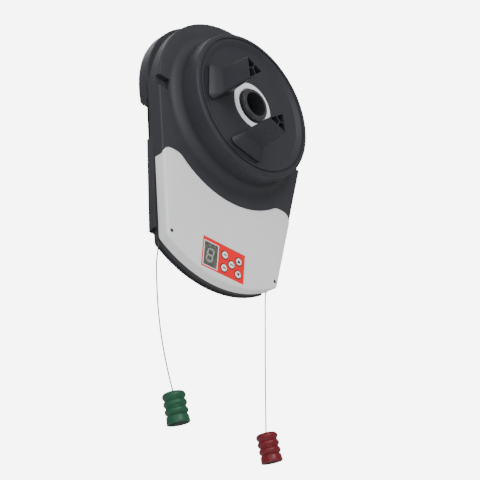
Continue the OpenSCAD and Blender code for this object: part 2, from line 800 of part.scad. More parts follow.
module display_module() color([0.35, 0.36, 0.35]) facing()
    plate([window_x, window_y], display_w, display_h, board_level + board_t,
        panel_level - pane_t - display_gap);

module button(i, tint) color(tint) facing() {
    rod(button_at(i), button_r, pocket_level - floor_t - pass, panel_level + button_proud);
    rod(button_at(i), button_r + button_rim, pocket_level - floor_t - pass - button_flange_t,
        pocket_level - floor_t - pass);
    rod(button_at(i), button_stem_r, board_level + board_t + switch_t + plunger_t + button_travel
        + seat / 2, pocket_level - floor_t - button_flange_t);
}
module set_button() button(0, "white");
module close_button() button(1, "white");
module stop_button() button(2, "white");
module up_button() button(3, "white");
module down_button() button(4, "white");

module key_switches() color([0.1, 0.1, 0.1]) facing() for (i = [0:4]) {
    plate(button_at(i), switch_w, switch_w, board_level + board_t,
        board_level + board_t + switch_t);
    rod(button_at(i), plunger_r, board_level + board_t + switch_t - seat,
        board_level + board_t + switch_t + plunger_t);
}

module control_board() color([0.1, 0.4, 0.2]) facing() difference() {
    plate([0, -board_drop], board_w, board_h, board_level, board_level + board_t);
    for (p = board_screw_places) rod(p, small_screw_r + screw_clear, board_level - cut,
        board_level + board_t + cut);
}

module board_parts() color([0.2, 0.3, 0.7]) facing() {
    for (s = [-1, 1]) plate([s * relay_w, -board_drop + relay_w / 2], relay_l, relay_w,
        board_level - relay_t, board_level);
    plate([0, -board_drop - board_h / 2 + terminal_h], terminal_w, terminal_h,
        board_level - relay_t, board_level);
    translate([relay_l + relay_w, -board_drop, board_level - capacitor_r]) rotate([-90, 0, 0])
        cylinder(h = capacitor_l / 2, r = capacitor_r - seat);
    plate([-relay_l - relay_w, -board_drop], chip_w, chip_w, board_level - chip_t, board_level);
}

module board_screws() color(steel) facing() for (p = board_screw_places) {
    rod(p, small_screw_r - seat / 2, board_level - 3 * wall, board_level + board_t + seat);
    rod(p, small_head_r, board_level + board_t, board_level + board_t + small_head_t);
}

module axle_sleeve() color([0.1, 0.1, 0.11]) facing() difference() {
    union() {
        rod([0, 0], sleeve_r, -lock_w - cut, sleeve_tip_level - clip_t);
        translate([0, 0, sleeve_tip_level - clip_t])
            cylinder(h = clip_t, r1 = sleeve_r, r2 = sleeve_r - clip_t);
        rod([0, 0], sleeve_flange_r, plate_level - plate_t - sleeve_flange_t - seat,
            plate_level - plate_t - seat);
    }
    rod([0, 0], axle_bore_r, -lock_w - 2 * cut, sleeve_tip_level + cut);
    difference() {
        rod([0, 0], sleeve_r + cut, clip_level, clip_level + clip_t + seat);
        rod([0, 0], sleeve_r - clip_groove, clip_level - cut, clip_level + clip_t + cut);
    }
    for (a = [45, 135]) lock_screw_hole(a);
}
clip_level = web_level - bush_flange_t + cut + seat * 2;

module lock_screw_hole(a) translate([0, 0, -lock_w / 2 - cut]) rotate([0, 90, a])
    cylinder(h = lock_r + cut, r = lock_screw_r + screw_clear);

module sleeve_circlip() color(steel) facing() difference() {
    rod([0, 0], clip_r, clip_level + seat / 2, clip_level + clip_t + seat / 2);
    rod([0, 0], sleeve_r - clip_groove + seat, clip_level - cut, clip_level + clip_t + cut);
    translate([0, 0, clip_level - cut]) rotate([0, 0, 30])
        translate([0, -clip_gap_w / 2, 0]) cube([lock_r, clip_gap_w, clip_t + 2 * cut]);
}

module axle_collar() color(steel) facing() difference() {
    rod([0, 0], lock_r, -lock_w - cut, -cut);
    rod([0, 0], sleeve_r + run, -lock_w - 2 * cut, 0);
    for (a = [45, 135]) lock_screw_hole(a);
}

module collar_screws() color([0.2, 0.2, 0.22]) facing() for (a = [45, 135])
    translate([0, 0, -lock_w / 2 - cut]) rotate([0, 90, a]) translate([0, 0, axle_bore_r + seat])
        difference() {
            cylinder(h = lock_r - axle_bore_r - cut, r = lock_screw_r);
            translate([0, 0, lock_r - axle_bore_r - 3 * cut])
                cylinder(h = 3 * cut, r = lock_screw_r / 2, $fn = 6);
        }

module cable_grommet() color([0.08, 0.08, 0.08]) facing() difference() {
    union() {
        rod([grommet_x, -grommet_drop], grommet_r - seat / 2, back_level - grommet_lip_t,
            back_level + wall + grommet_lip_t);
        rod([grommet_x, -grommet_drop], grommet_lip_r, back_level - grommet_lip_t,
            back_level - seat / 2);
        rod([grommet_x, -grommet_drop], grommet_lip_r, back_level + wall + seat / 2,
            back_level + wall + grommet_lip_t);
    }
    rod([grommet_x, -grommet_drop], grommet_r / 2, back_level - grommet_lip_t - cut,
        back_level + wall + grommet_lip_t + cut);
}

// The drum: a tapered rim, two shallow steps, a sunken face and a hub for the bush
drum_inner_r = drum_r - drum_wall;
hub_r = bush_flange_r + web_wall / 2;
drum_profile = concat(
    [[drum_back_r, drum_back_level]],
    arc([drum_r - drum_edge_r, drum_level - drum_edge_r], drum_edge_r, 0, 90, edge_steps),
    [[drum_r - rim_w - drum_edge_r / 2, drum_level],
     [drum_r - rim_w - drum_edge_r, drum_level - recess_depth / 3],
     [drum_r - rim_w - drum_edge_r - rim_step_w, drum_level - recess_depth / 3],
     [drum_r - rim_w - drum_edge_r - rim_step_w, drum_level - recess_depth * 2 / 3],
     [drum_r - rim_w - drum_edge_r - 2 * rim_step_w, drum_level - recess_depth * 2 / 3],
     [drum_r - rim_w - drum_edge_r - 2 * rim_step_w - recess_depth / 3, web_level],
     [bush_flange_r + seat, web_level],
     [bush_flange_r + seat, web_level - bush_flange_t + cut],
     [bush_r + run, web_level - bush_flange_t + cut],
     [bush_r + run, collar_level + thrust_h + 2 * pass],
     [hub_r, collar_level + thrust_h + 2 * pass],
     [hub_r, web_back_level],
     [drum_inner_r, web_back_level],
     [drum_inner_r, drum_back_level]]);

module drive_drum() color(dark) facing() difference() {
    rotate_extrude($fn = 180) polygon(drum_profile);
    for (f = [0, 1], p = fork_screw_places) fork_place(f) rod(p, screw_r + screw_clear,
        web_back_level - cut, web_level + cut);
}

module ring_gear() color(nylon) facing() difference() {
    rod([0, 0], drum_inner_r - seat, web_back_level - ring_w, web_back_level - seat / 2);
    slab(gear_points(ring_teeth,
        [ring_pitch_r - tip_share * gear_module, ring_pitch_r,
         ring_pitch_r + root_share * gear_module],
        [space_tip_share * ring_pitch, (1 - tooth_share) * ring_pitch,
         space_root_share * ring_pitch], pinion_angle),
        web_back_level - ring_w - cut, web_back_level + cut);
}
ring_w = 14;

module drum_bush() color(nylon) facing() difference() {
    union() {
        rod([0, 0], bush_r, collar_level + thrust_h + pass, web_level - bush_flange_t + 2 * cut);
        rod([0, 0], bush_flange_r, web_level - bush_flange_t + cut, web_level + cut);
    }
    rod([0, 0], sleeve_r + run, collar_level, web_level + 2 * cut);
    rod([0, 0], bush_mouth_r, clip_level, web_level + 2 * cut);
}

// A fork: a hollow three-sided horn, wide at the foot, with three ribs in its open tip.
// Its own x points away from the drum's axis, and its outer corner leans to +y.
fork_foot_r = 7;
fork_tip_r = 2.5;
fork_flange_t = 2.5;
fork_foot_shares = [[0.79, 0.82], [0.64, -1.16], [-0.71, 0.1]];
fork_tip_shares = [[0.42, 0.83], [-0.21, -1.12], [-1.46, 0.21]];
function fork_foot(i) = [fork_reach + fork_foot_shares[i].x * fork_foot_half,
    fork_foot_shares[i].y * fork_foot_half];
function fork_tip(i) = [fork_reach + fork_tip_shares[i].x * fork_tip_half,
    fork_tip_shares[i].y * fork_tip_half];
fork_screw_places = [fork_foot(0), fork_foot(1)];
fork_middle = (fork_tip(0) + fork_tip(1) + fork_tip(2)) / 3;

module fork_place(f) rotate([0, 0, fork_mid + (f == 0 ? -fork_spread : fork_spread)])
    mirror([0, 1 - f, 0]) children();

module fork_body() difference() {
    union() {
        hull() {
            for (i = [0:2]) rod(fork_foot(i), fork_foot_r, web_level + seat / 2,
                web_level + fork_flange_t, $fn = soft_fn);
            for (i = [0:2]) rod(fork_tip(i), fork_tip_r, fork_tip_level - seat,
                fork_tip_level, $fn = soft_fn);
        }
        hull() for (i = [0:2]) rod(fork_foot(i), fork_foot_r + fork_flange_t / 3,
            web_level + seat / 2, web_level + fork_flange_t, $fn = soft_fn);
    }
    difference() {
        hull() {
            for (i = [0:2]) rod((fork_foot(i) + fork_tip(i)) / 2, fork_tip_r,
                fork_tip_level - fork_pocket, fork_tip_level - fork_pocket + seat,
                $fn = soft_fn);
            for (i = [0:2]) rod(fork_middle + (fork_tip(i) - fork_middle)
                * (1 - fork_wall / fork_tip_half / 1.6), fork_tip_r / 2,
                fork_tip_level, fork_tip_level + cut, $fn = soft_fn);
        }
        for (i = [0:2]) at_level(fork_middle, fork_tip_level - fork_pocket - cut)
            rotate([0, 0, fork_rib_angle(i)])
                translate([0, -fork_rib / 2, 0]) cube([fork_foot_half * 2, fork_rib,
                    fork_pocket + 3 * cut]);
    }
    for (p = fork_screw_places) rod(p, screw_r + screw_clear / 2, web_level - cut,
        web_level + 4 * fork_flange_t);
}
function fork_rib_angle(i) = let (m = (fork_tip(i) + fork_tip((i + 1) % 3)) / 2 - fork_middle)
    atan2(m.y, m.x);

module left_fork() color(dark) facing() fork_place(0) fork_body();
module lower_fork() color(dark) facing() fork_place(1) fork_body();

module fork_screws() color(steel) facing() for (f = [0, 1], p = fork_screw_places) fork_place(f) {
    rod(p, screw_head_r, web_back_level - screw_head_t, web_back_level - seat / 2);
    rod(p, screw_r, web_back_level - seat, web_level + 3 * fork_flange_t);
}

module chassis_plate() color(steel) facing() difference() {
    translate([0, 0, plate_level - plate_t]) linear_extrude(plate_t) union() {
        circle(plate_r);
        translate(pinion_at) circle(plate_lobe_r);
    }
    rod([0, 0], sleeve_r + run, seam_level, collar_level);
    rod(pinion_at, shaft_r + bush_wall, seam_level, collar_level);
    for (a = plate_screw_angles) rod(plate_screw_dist * unit(a), screw_r + screw_clear,
        seam_level, collar_level);
    for (a = lug_angles) {
        rod(pinion_at + lug_dist * unit(a), lug_bore_r + screw_clear, seam_level, collar_level);
        at_level(pinion_at + lug_dist * unit(a), plate_level - plate_t / 2)
            cylinder(h = plate_t / 2 + seat, r1 = lug_bore_r + screw_clear,
                r2 = lug_sink_r + screw_clear);
    }
    difference() {
        slab(casing_points(-cut), seam_level, collar_level);
        rod([0, 0], collar_r - wall - seat, seam_level - cut, collar_level + cut);
    }
}

module chassis_screws() color(steel) facing() {
    for (a = plate_screw_angles) {
        rod(plate_screw_dist * unit(a), screw_head_r, plate_level - plate_t - screw_head_t,
            plate_level - plate_t - seat / 2);
        rod(plate_screw_dist * unit(a), screw_r, plate_level - plate_t - seat,
            collar_level - seat);
    }
    for (a = lug_angles) at_level(pinion_at + lug_dist * unit(a), plate_level - plate_t / 2) {
        cylinder(h = plate_t / 2, r1 = lug_bore_r, r2 = lug_sink_r);
        translate([0, 0, -3 * plate_t]) cylinder(h = 3 * plate_t, r = lug_bore_r);
    }
}

worm_bay_w = worm_bay_left + worm_bay_right;
worm_bay_h = 2 * (worm_r + worm_module + worm_gap);
case_top = case_level;
module case_outline(grow) union() {
    translate(pinion_at) circle(case_r - case_wall + grow);
    translate([pinion_x - worm_bay_left - grow, worm_rise - worm_bay_h / 2 - grow])
        square([worm_bay_w + 2 * grow, worm_bay_h + 2 * grow]);
}

module gearbox_case() color(steel) facing() difference() {
    union() {
        translate([0, 0, case_back_level]) linear_extrude(case_top - case_back_level)
            case_outline(case_wall);
        for (a = lug_angles) rod(pinion_at + lug_dist * unit(a), lug_r, case_back_level,
            plate_level - plate_t - seat);
    }
    translate([0, 0, case_back_level + case_wall]) linear_extrude(case_top) case_outline(0);
    rod(pinion_at, shaft_r + bush_wall, case_back_level - cut, case_top);
    for (a = lug_angles) rod(pinion_at + lug_dist * unit(a), lug_bore_r + run,
        plate_level - 4 * plate_t, plate_level);
    translate([pinion_x - worm_bay_w, worm_rise, worm_level]) rotate([0, 90, 0])
        cylinder(h = 2 * worm_bay_w, r = worm_shaft_r + run);
}

module gearbox_cover() color(steel) facing() difference() {
    union() {
        translate([0, 0, case_level + seat / 2]) linear_extrude(lid_t - seat / 2)
            case_outline(case_wall);
        rod(pinion_at, cam_boss_r, lid_level - seat, cam_level + cam_t + seat);
    }
    rod(pinion_at, shaft_r + pass, case_level - cut, lid_level + 3 * cam_t);
    for (a = lug_angles) rod(pinion_at + lug_dist * unit(a), lug_r + seat, case_level - cut,
        lid_level + cut);
    rod(pinion_at + cam_slot_r * unit(-90), shift_pin_r + pass, case_level - cut,
        lid_level + cut);
}

module shaft_bushes() color([0.72, 0.55, 0.25]) facing() {
    difference() {
        rod(pinion_at, shaft_r + bush_wall - run, case_back_level, case_back_level + case_wall);
        rod(pinion_at, shaft_r + run, case_back_level - cut, case_top);
    }
    difference() {
        rod(pinion_at, shaft_r + bush_wall - run, plate_level - plate_t, plate_level);
        rod(pinion_at, shaft_r + run, seam_level, collar_level);
    }
}

pinion_w = 11.6;
pinion_back_level = collar_level + 4 * cut;
module pinion_shaft() color(steel) facing()
    rod(pinion_at, shaft_r, case_back_level + seat, pinion_back_level + pinion_w + seat);

module drive_pinion() color(nylon) facing() difference() {
    at_level(pinion_at, pinion_back_level) linear_extrude(pinion_w) polygon(gear_points(pinion_teeth,
        [pinion_pitch_r - root_share * gear_module, pinion_pitch_r,
         pinion_pitch_r + tip_share * gear_module],
        [tooth_root_share * ring_pitch, tooth_share * ring_pitch,
         tooth_tip_share * ring_pitch], pinion_angle));
    rod(pinion_at, shaft_r + run, collar_level, drum_level);
}

module worm_wheel() color([0.9, 0.85, 0.7]) facing() difference() {
    at_level(pinion_at, worm_level - wheel_w / 2) linear_extrude(wheel_w)
        polygon(gear_points(wheel_teeth,
            [wheel_pitch_r - root_share * worm_module, wheel_pitch_r,
             wheel_pitch_r + tip_share * worm_module],
            [tooth_root_share * worm_pitch, tooth_share * worm_pitch,
             tooth_tip_share * worm_pitch], 180 / wheel_teeth - 90));
    rod(pinion_at, shaft_r + run, 0, collar_level);
    for (a = [0:90:270]) at_level(pinion_at, worm_level + wheel_w / 2 - dog_depth - seat)
        rotate([0, 0, a]) translate([neck_r - dog_reach - pass, -dog_reach - pass, 0])
            cube([2 * dog_reach + 2 * pass, 2 * dog_reach + 2 * pass, dog_depth + cut]);
}

module clutch_collar() color(steel) facing() {
    difference() {
        rod(pinion_at, clutch_r, clutch_level, clutch_top);
        difference() {
            rod(pinion_at, clutch_r + cut, clutch_level + (collar_t - groove_t) / 2,
                clutch_level + (collar_t + groove_t) / 2);
            rod(pinion_at, neck_r, clutch_level - cut, clutch_top + cut);
        }
        rod(pinion_at, shaft_r + run, clutch_level - cut, clutch_top + cut);
    }
    for (a = [0:90:270]) at_level(pinion_at, clutch_level - pass - dog_depth)
        rotate([0, 0, a]) translate([neck_r - dog_reach, -dog_reach, 0])
            cube([2 * dog_reach, 2 * dog_reach, dog_depth + pass + seat]);
}

module shift_fork() color(steel) facing() {
    difference() {
        union() {
            rod(pinion_at, clutch_r + 2 * cut, shift_level, shift_level + fork_plate_t);
            plate(pinion_at + [0, -cam_slot_r / 2], 4 * shift_pin_r, cam_slot_r + 4 * shift_pin_r,
                shift_level, shift_level + fork_plate_t);
        }
        rod(pinion_at, neck_r + pass, shift_level - cut, shift_level + 2 * cut);
        plate(pinion_at + [0, clutch_r], 2 * neck_r + 2 * pass, 2 * clutch_r,
            shift_level - cut, shift_level + 2 * cut);
    }
    rod(pinion_at + cam_slot_r * unit(-90), shift_pin_r, shift_level + seat, cam_level - pass);
}
shift_level = clutch_level + (collar_t - fork_plate_t) / 2;

module release_cam() color(steel) facing() difference() {
    union() {
        rod(pinion_at, cam_r + cut, cam_level, cam_level + cam_t);
        at_level(pinion_at, cam_level) rotate([0, 0, rocker_tilt])
            translate([0, -link_w / 2, 0]) cube([crank_len, link_w, cam_t]);
        rod(link_cam_at, link_eye_r, cam_level, cam_level + cam_t);
        rod(link_cam_at, crank_pin_r, link_level, cam_level + seat);
        at_level(pinion_at, cam_level) intersection() {
            cylinder(h = cam_t, r = cam_slot_r + 2 * shift_pin_r + cut);
            translate([-cam_slot_r, -2 * cam_slot_r, 0]) cube([2 * cam_slot_r, 2 * cam_slot_r, cam_t]);
        }
    }
    rod(pinion_at, cam_boss_r + run, cam_level - cut, cam_level + cam_t + cut);
    at_level(pinion_at, cam_level - cut) intersection() {
        difference() {
            cylinder(h = cam_t + 2 * cut, r = cam_slot_r + shift_pin_r + pass);
            translate([0, 0, -cut]) cylinder(h = cam_t + 4 * cut, r = cam_slot_r - shift_pin_r - pass);
        }
        linear_extrude(cam_t + 2 * cut) polygon(concat([[0, 0]],
            arc([0, 0], 2 * cam_slot_r, -100, -90 + 2 * rocker_tilt + 10, corner_steps)));
    }
}

module release_link() color(steel) facing() difference() {
    union() {
        at_level(link_rocker_at, link_level)
            rotate([0, 0, atan2(link_span.y, link_span.x)]) translate([0, -link_w / 2, 0])
                cube([norm(link_span), link_w, link_t]);
        rod(link_rocker_at, link_eye_r, link_level, link_level + link_t);
        rod(link_cam_at, link_eye_r, link_level, link_level + link_t);
    }
    rod(link_rocker_at, crank_pin_r + run, link_level - cut, link_level + link_t + cut);
    rod(link_cam_at, crank_pin_r + run, link_level - cut, link_level + link_t + cut);
}
link_span = link_cam_at - link_rocker_at;

module release_rocker() color([0.75, 0.6, 0.15]) facing() {
    at_level([0, -rocker_drop], rocker_level) rotate([0, 0, rocker_tilt]) difference() {
        union() {
            cylinder(h = rocker_t, r = rocker_hub_r);
            plate([0, 0], 2 * rocker_arm, rocker_bar_w, 0, rocker_t);
            both_sides() rod([rocker_arm, 0], rocker_end_r, 0, rocker_t);
            rod([crank_len, 0], crank_pin_r, 0, crank_pin_level - rocker_level);
        }
        rod([0, 0], rocker_pin_r + run, -cut, rocker_t + cut);
        both_sides() {
            rod([rocker_arm, 0], rocker_eye_r, -cut, rocker_t + cut);
            slab([[rocker_arm - eye_slot, 0], [rocker_arm + eye_slot, 0],
                [rocker_arm + eye_slot_end, -rocker_end_r - cut],
                [rocker_arm - eye_slot_end, -rocker_end_r - cut]], -cut, rocker_t + cut);
        }
    }
}

motor_x = pinion_x - worm_bay_left - case_wall - seat;
module motor_can() color(steel) facing() translate([motor_x, worm_rise, worm_level])
    rotate([0, -90, 0]) difference() {
        cylinder(h = motor_len, r = motor_r);
        translate([0, 0, -cut]) cylinder(h = motor_len / 2, r = worm_shaft_r + run);
    }

module motor_end_bell() color([0.12, 0.12, 0.13]) facing()
    translate([motor_x - motor_len, worm_rise, worm_level]) rotate([0, -90, 0]) {
        cylinder(h = case_wall, r = motor_r - cut);
        cylinder(h = 2 * case_wall, r = cam_boss_r);
        for (s = [-1, 1]) translate([-worm_gap, s * motor_r / 2 - worm_gap, 0])
            cube([2 * worm_gap, 2 * worm_gap, 3 * case_wall]);
    }

// The worm's section swept round: its radius rises and falls twice in a turn
worm_facets = 24;
worm_slices = 32;
worm_lead = worm_pitch * worm_starts;
function worm_section_r(a) = let (w = abs(((a * worm_starts) % 360 + 360) % 360 - 180) / 360)
    w < tooth_tip_share / 2 ? worm_r + tip_share * worm_module
    : w > tooth_root_share / 2 ? worm_r - root_share * worm_module
    : worm_r + tip_share * worm_module - (tip_share + root_share) * worm_module
        * (w - tooth_tip_share / 2) / (tooth_root_share / 2 - tooth_tip_share / 2);
module worm() color(steel) facing() translate([pinion_x, worm_rise, worm_level])
    rotate([0, 90, 0]) {
        rotate([0, 0, 180 * worm_len / worm_lead]) linear_extrude(worm_len, center = true,
            twist = 360 * worm_len / worm_lead, slices = worm_slices, $fn = worm_facets)
            polygon([for (i = [0:worm_facets - 1]) let (a = 360 * i / worm_facets)
                worm_section_r(a - 90 + 180 / worm_starts) * unit(a)]);
        translate([0, 0, -worm_bay_left - motor_len / 4])
            cylinder(h = worm_bay_w + motor_len / 4 + case_wall, r = worm_shaft_r);
    }

module transformer_core() color([0.3, 0.3, 0.32]) facing() difference() {
    plate([core_x, core_y], core_w, core_h, core_level - core_t / 2, core_level + core_t / 2);
    for (s = [-1, 1]) plate([core_x + s * (core_leg + core_window / 2), core_y],
        core_window, coil_h + 2 * coil_gap, core_level - core_t, core_level + core_t);
}
core_window = (core_w - 4 * core_leg) / 2 - core_leg / 2 + coil_gap;

module transformer_coil() color([0.8, 0.65, 0.2]) facing() difference() {
    plate([core_x, core_y], 2 * (core_leg + core_window - coil_gap), coil_h,
        core_level - coil_t / 2, core_level + coil_t / 2);
    plate([core_x, core_y], 2 * core_leg + 2 * coil_gap, coil_h + 2 * cut,
        core_level - core_t / 2 - coil_gap, core_level + core_t / 2 + coil_gap);
}

module cord_bushes() color([0.05, 0.05, 0.05]) facing() both_sides()
    translate([cord_x, exit_z, cord_level]) rotate([-90, 0, 0]) difference() {
        cylinder(h = bush_len + wall, r = bush_tube_r);
        translate([0, 0, -cut]) cylinder(h = bush_len + wall + 2 * cut, r = bush_bore_r);
    }

// A cord swept along its route with eight sides
cord_sides = 8;
function cord_ring(p, aim) = let (
        w = aim / norm(aim),
        u = cross(w, [0, 1, 0]) / norm(cross(w, [0, 1, 0])),
        v = cross(w, u))
    [for (i = [0:cord_sides - 1]) p + cord_d / 2 * (cos(360 * i / cord_sides) * u
        + sin(360 * i / cord_sides) * v)];
module swept_cord(route) loft([for (i = [0:len(route) - 1])
    cord_ring(route[i], route[min(i + 1, len(route) - 1)] - route[max(i - 1, 0)])]);

module green_cord() color([0.75, 0.75, 0.73]) swept_cord(green_route);
module red_cord() color([0.75, 0.75, 0.73]) swept_cord(red_route);
end_drop = rocker_arm * sin(rocker_tilt);
// The stretch of a cord inside the casing, up to its knot in the eye of the rocker
module inner_cord(s) color([0.75, 0.75, 0.73]) translate([s * cord_x, -cord_level, exit_z]) {
    cylinder(h = -rocker_drop + s * end_drop - exit_z, r = cord_d / 2);
    translate([0, 0, -rocker_drop + s * end_drop - exit_z]) rotate_extrude() difference() {
        circle(knot_r);
        translate([-2 * knot_r, -knot_r]) square([2 * knot_r, 2 * knot_r]);
    }
}
module green_inner_cord() inner_cord(-1);
module red_inner_cord() inner_cord(1);

// A hollow ribbed grip: three round beads over a flared skirt, open below
module grip() difference() {
    union() {
        rotate_extrude() polygon([[0, 0], [grip_r - bead_r, 0], [grip_core_r, -bead_r],
            [grip_core_r, skirt_len - grip_len],
            [grip_r - grip_wall / 2, skirt_len - grip_len - cut],
            [grip_r, cut - grip_len], [grip_r - cut, -grip_len], [0, -grip_len]]);
        for (i = [0:2]) translate([0, 0, -bead_r - i * bead_pitch]) rotate_extrude()
            translate([grip_r - bead_r, 0]) circle(bead_r);
    }
    translate([0, 0, -grip_len - cut]) cylinder(h = grip_len - grip_top_t + cut,
        r = grip_core_r - grip_wall);
    translate([0, 0, -grip_len - cut]) cylinder(h = skirt_len - cut,
        r1 = grip_r - grip_wall + cut / 2, r2 = grip_core_r - grip_wall);
}

module green_grip() color([0.13, 0.36, 0.25]) translate(green_route[len(green_route) - 1])
    rotate([0, -green_lean, 0]) translate([0, 0, -seat]) grip();
module red_grip() color([0.55, 0.15, 0.2]) translate(red_route[len(red_route) - 1])
    rotate([0, -red_lean, 0]) translate([0, 0, -seat]) grip();

rear_housing();
front_housing();
lower_cover();
cover_screws();
housing_screws();
key_panel();
window_frame();
display_window();
display_module();
set_button();
close_button();
stop_button();
up_button();
down_button();
key_switches();
control_board();
board_parts();
board_screws();
axle_sleeve();
sleeve_circlip();
axle_collar();
collar_screws();
cable_grommet();
drive_drum();
ring_gear();
drum_bush();
left_fork();
lower_fork();
fork_screws();
chassis_plate();
chassis_screws();
gearbox_case();
gearbox_cover();
shaft_bushes();
pinion_shaft();
drive_pinion();
worm_wheel();
worm();
motor_can();
motor_end_bell();
clutch_collar();
shift_fork();
release_cam();
release_link();
release_rocker();
transformer_core();
transformer_coil();
cord_bushes();
green_inner_cord();
green_cord();
green_grip();
red_inner_cord();
red_cord();
red_grip();
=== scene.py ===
import json
import math

import bmesh
import bpy
from mathutils import Matrix, Vector

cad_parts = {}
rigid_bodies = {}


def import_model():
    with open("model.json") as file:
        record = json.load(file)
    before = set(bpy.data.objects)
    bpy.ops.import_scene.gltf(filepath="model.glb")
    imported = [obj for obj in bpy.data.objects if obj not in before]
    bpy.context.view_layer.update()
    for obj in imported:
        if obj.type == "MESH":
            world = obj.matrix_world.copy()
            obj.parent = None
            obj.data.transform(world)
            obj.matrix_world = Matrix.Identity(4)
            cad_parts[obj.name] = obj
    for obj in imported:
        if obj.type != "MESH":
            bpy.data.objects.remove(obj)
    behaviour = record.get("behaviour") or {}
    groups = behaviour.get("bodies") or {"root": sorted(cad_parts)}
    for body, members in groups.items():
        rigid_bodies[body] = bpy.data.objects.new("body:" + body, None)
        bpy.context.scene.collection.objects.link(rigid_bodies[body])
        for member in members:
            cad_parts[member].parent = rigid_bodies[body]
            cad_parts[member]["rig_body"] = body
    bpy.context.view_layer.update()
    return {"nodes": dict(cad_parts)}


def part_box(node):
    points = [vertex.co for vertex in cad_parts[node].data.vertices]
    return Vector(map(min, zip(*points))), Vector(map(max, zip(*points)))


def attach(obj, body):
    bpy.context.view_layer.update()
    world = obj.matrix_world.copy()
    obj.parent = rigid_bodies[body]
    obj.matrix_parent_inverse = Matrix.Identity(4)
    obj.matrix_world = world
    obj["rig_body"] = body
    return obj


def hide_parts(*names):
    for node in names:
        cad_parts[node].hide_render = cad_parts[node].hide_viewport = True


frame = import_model()
bpy.ops.object.select_all(action="DESELECT")
nodes = frame["nodes"]
mm = 0.001

# The camera looks up at the opener from below and to its left, as the photograph does. Its
# place, its view and its upward direction were solved from the ellipses of the drum, the bush
# and the bore and from the casing's edges.
camera_place = (-0.68126, -0.81024, -0.76149)
camera_view = (0.5948, 0.6445, 0.4804)
camera_upward = (-0.3717, -0.3093, 0.8753)
camera_data = bpy.data.cameras.new("photo_camera")
camera_data.sensor_width = 36.0
camera_data.lens = 66.53
camera_data.clip_start = 0.05
camera_data.clip_end = 50.0
camera = bpy.data.objects.new("photo_camera", camera_data)
bpy.context.scene.collection.objects.link(camera)
camera_back = -Vector(camera_view).normalized()
camera_right = Vector(camera_upward).cross(camera_back).normalized()
camera_up = camera_back.cross(camera_right)
camera.matrix_world = Matrix.Translation(camera_place) @ Matrix(
    (camera_right, camera_up, camera_back)
).transposed().to_4x4()
bpy.context.scene.camera = camera

# The two pull cords are thin braided polyester, grey and slightly waxed. Each leaves the casing
# through its bush, hangs down with the set that the cord keeps from its hank, and ends in the
# top of its grip. Points are in millimetres, as in the part's source.
cord_diameter = 1.6 * mm
green_route = [
    (-95.5, -27, -236.5), (-95.5, -27, -242.5), (-95.5, -27, -248.5), (-95.5, -27, -254.5),
    (-95.5, -27, -260.5), (-95.4, -27, -266.5), (-94.9, -27.1, -272.5), (-94.2, -27.3, -278.5),
    (-93.4, -27.5, -284.5), (-92.6, -27.7, -290.5), (-91.8, -27.9, -296.5), (-90.9, -28.1, -302.5),
    (-90, -28.4, -308.5), (-89.1, -28.7, -314.5), (-88.1, -29, -320.5), (-87, -29.3, -326.5),
    (-85.8, -29.6, -332.5), (-84.5, -29.9, -338.5), (-83.2, -30.2, -344.5), (-81.8, -30.6, -350.5),
    (-80.3, -31, -356.5), (-78.7, -31.4, -362.5), (-77.1, -31.8, -368.5), (-75.4, -32.3, -374.5),
    (-73.6, -32.8, -380.5), (-71.7, -33.3, -386.5), (-69.8, -33.8, -392.5), (-67.8, -34.3, -398.5),
    (-65.7, -34.8, -404.5), (-63.5, -35.4, -410.5), (-61.3, -36, -416.5), (-59, -36.6, -422.5),
    (-57.8, -36.9, -425.5),
]
red_route = [
    (95.5, -27, -236.5), (95.5, -27, -242.5), (95.6, -27, -248.5), (95.8, -27.1, -254.5),
    (96, -27.1, -260.5), (96.3, -27.2, -266.5), (96.6, -27.3, -272.5), (96.9, -27.4, -278.5),
    (97.2, -27.4, -284.5), (97.5, -27.5, -290.5), (97.8, -27.6, -296.5), (98.1, -27.7, -302.5),
    (98.4, -27.7, -308.5), (98.7, -27.8, -314.5), (99, -27.9, -320.5), (99.3, -28, -326.5),
    (99.6, -28, -332.5), (99.9, -28.1, -338.5), (100.3, -28.2, -344.5), (100.6, -28.3, -350.5),
    (100.9, -28.4, -356.5), (101.3, -28.5, -362.5), (101.6, -28.5, -368.5), (102, -28.6, -374.5),
    (102.3, -28.7, -380.5), (102.7, -28.8, -386.5), (103, -28.9, -392.5), (103.4, -29, -398.5),
    (103.7, -29.1, -404.5), (104.1, -29.2, -410.5), (104.5, -29.3, -416.5), (104.8, -29.3, -422.5),
    (105.2, -29.4, -428.5), (105.5, -29.5, -432.5),
]


def add_node(tree, kind, inputs=None, **settings):
    """Add a shader node with its settings and input values."""
    made = tree.nodes.new("ShaderNode" + kind)
    for key, value in settings.items():
        setattr(made, key, value)
    for key, value in (inputs or {}).items():
        made.inputs[key].default_value = value
    return made


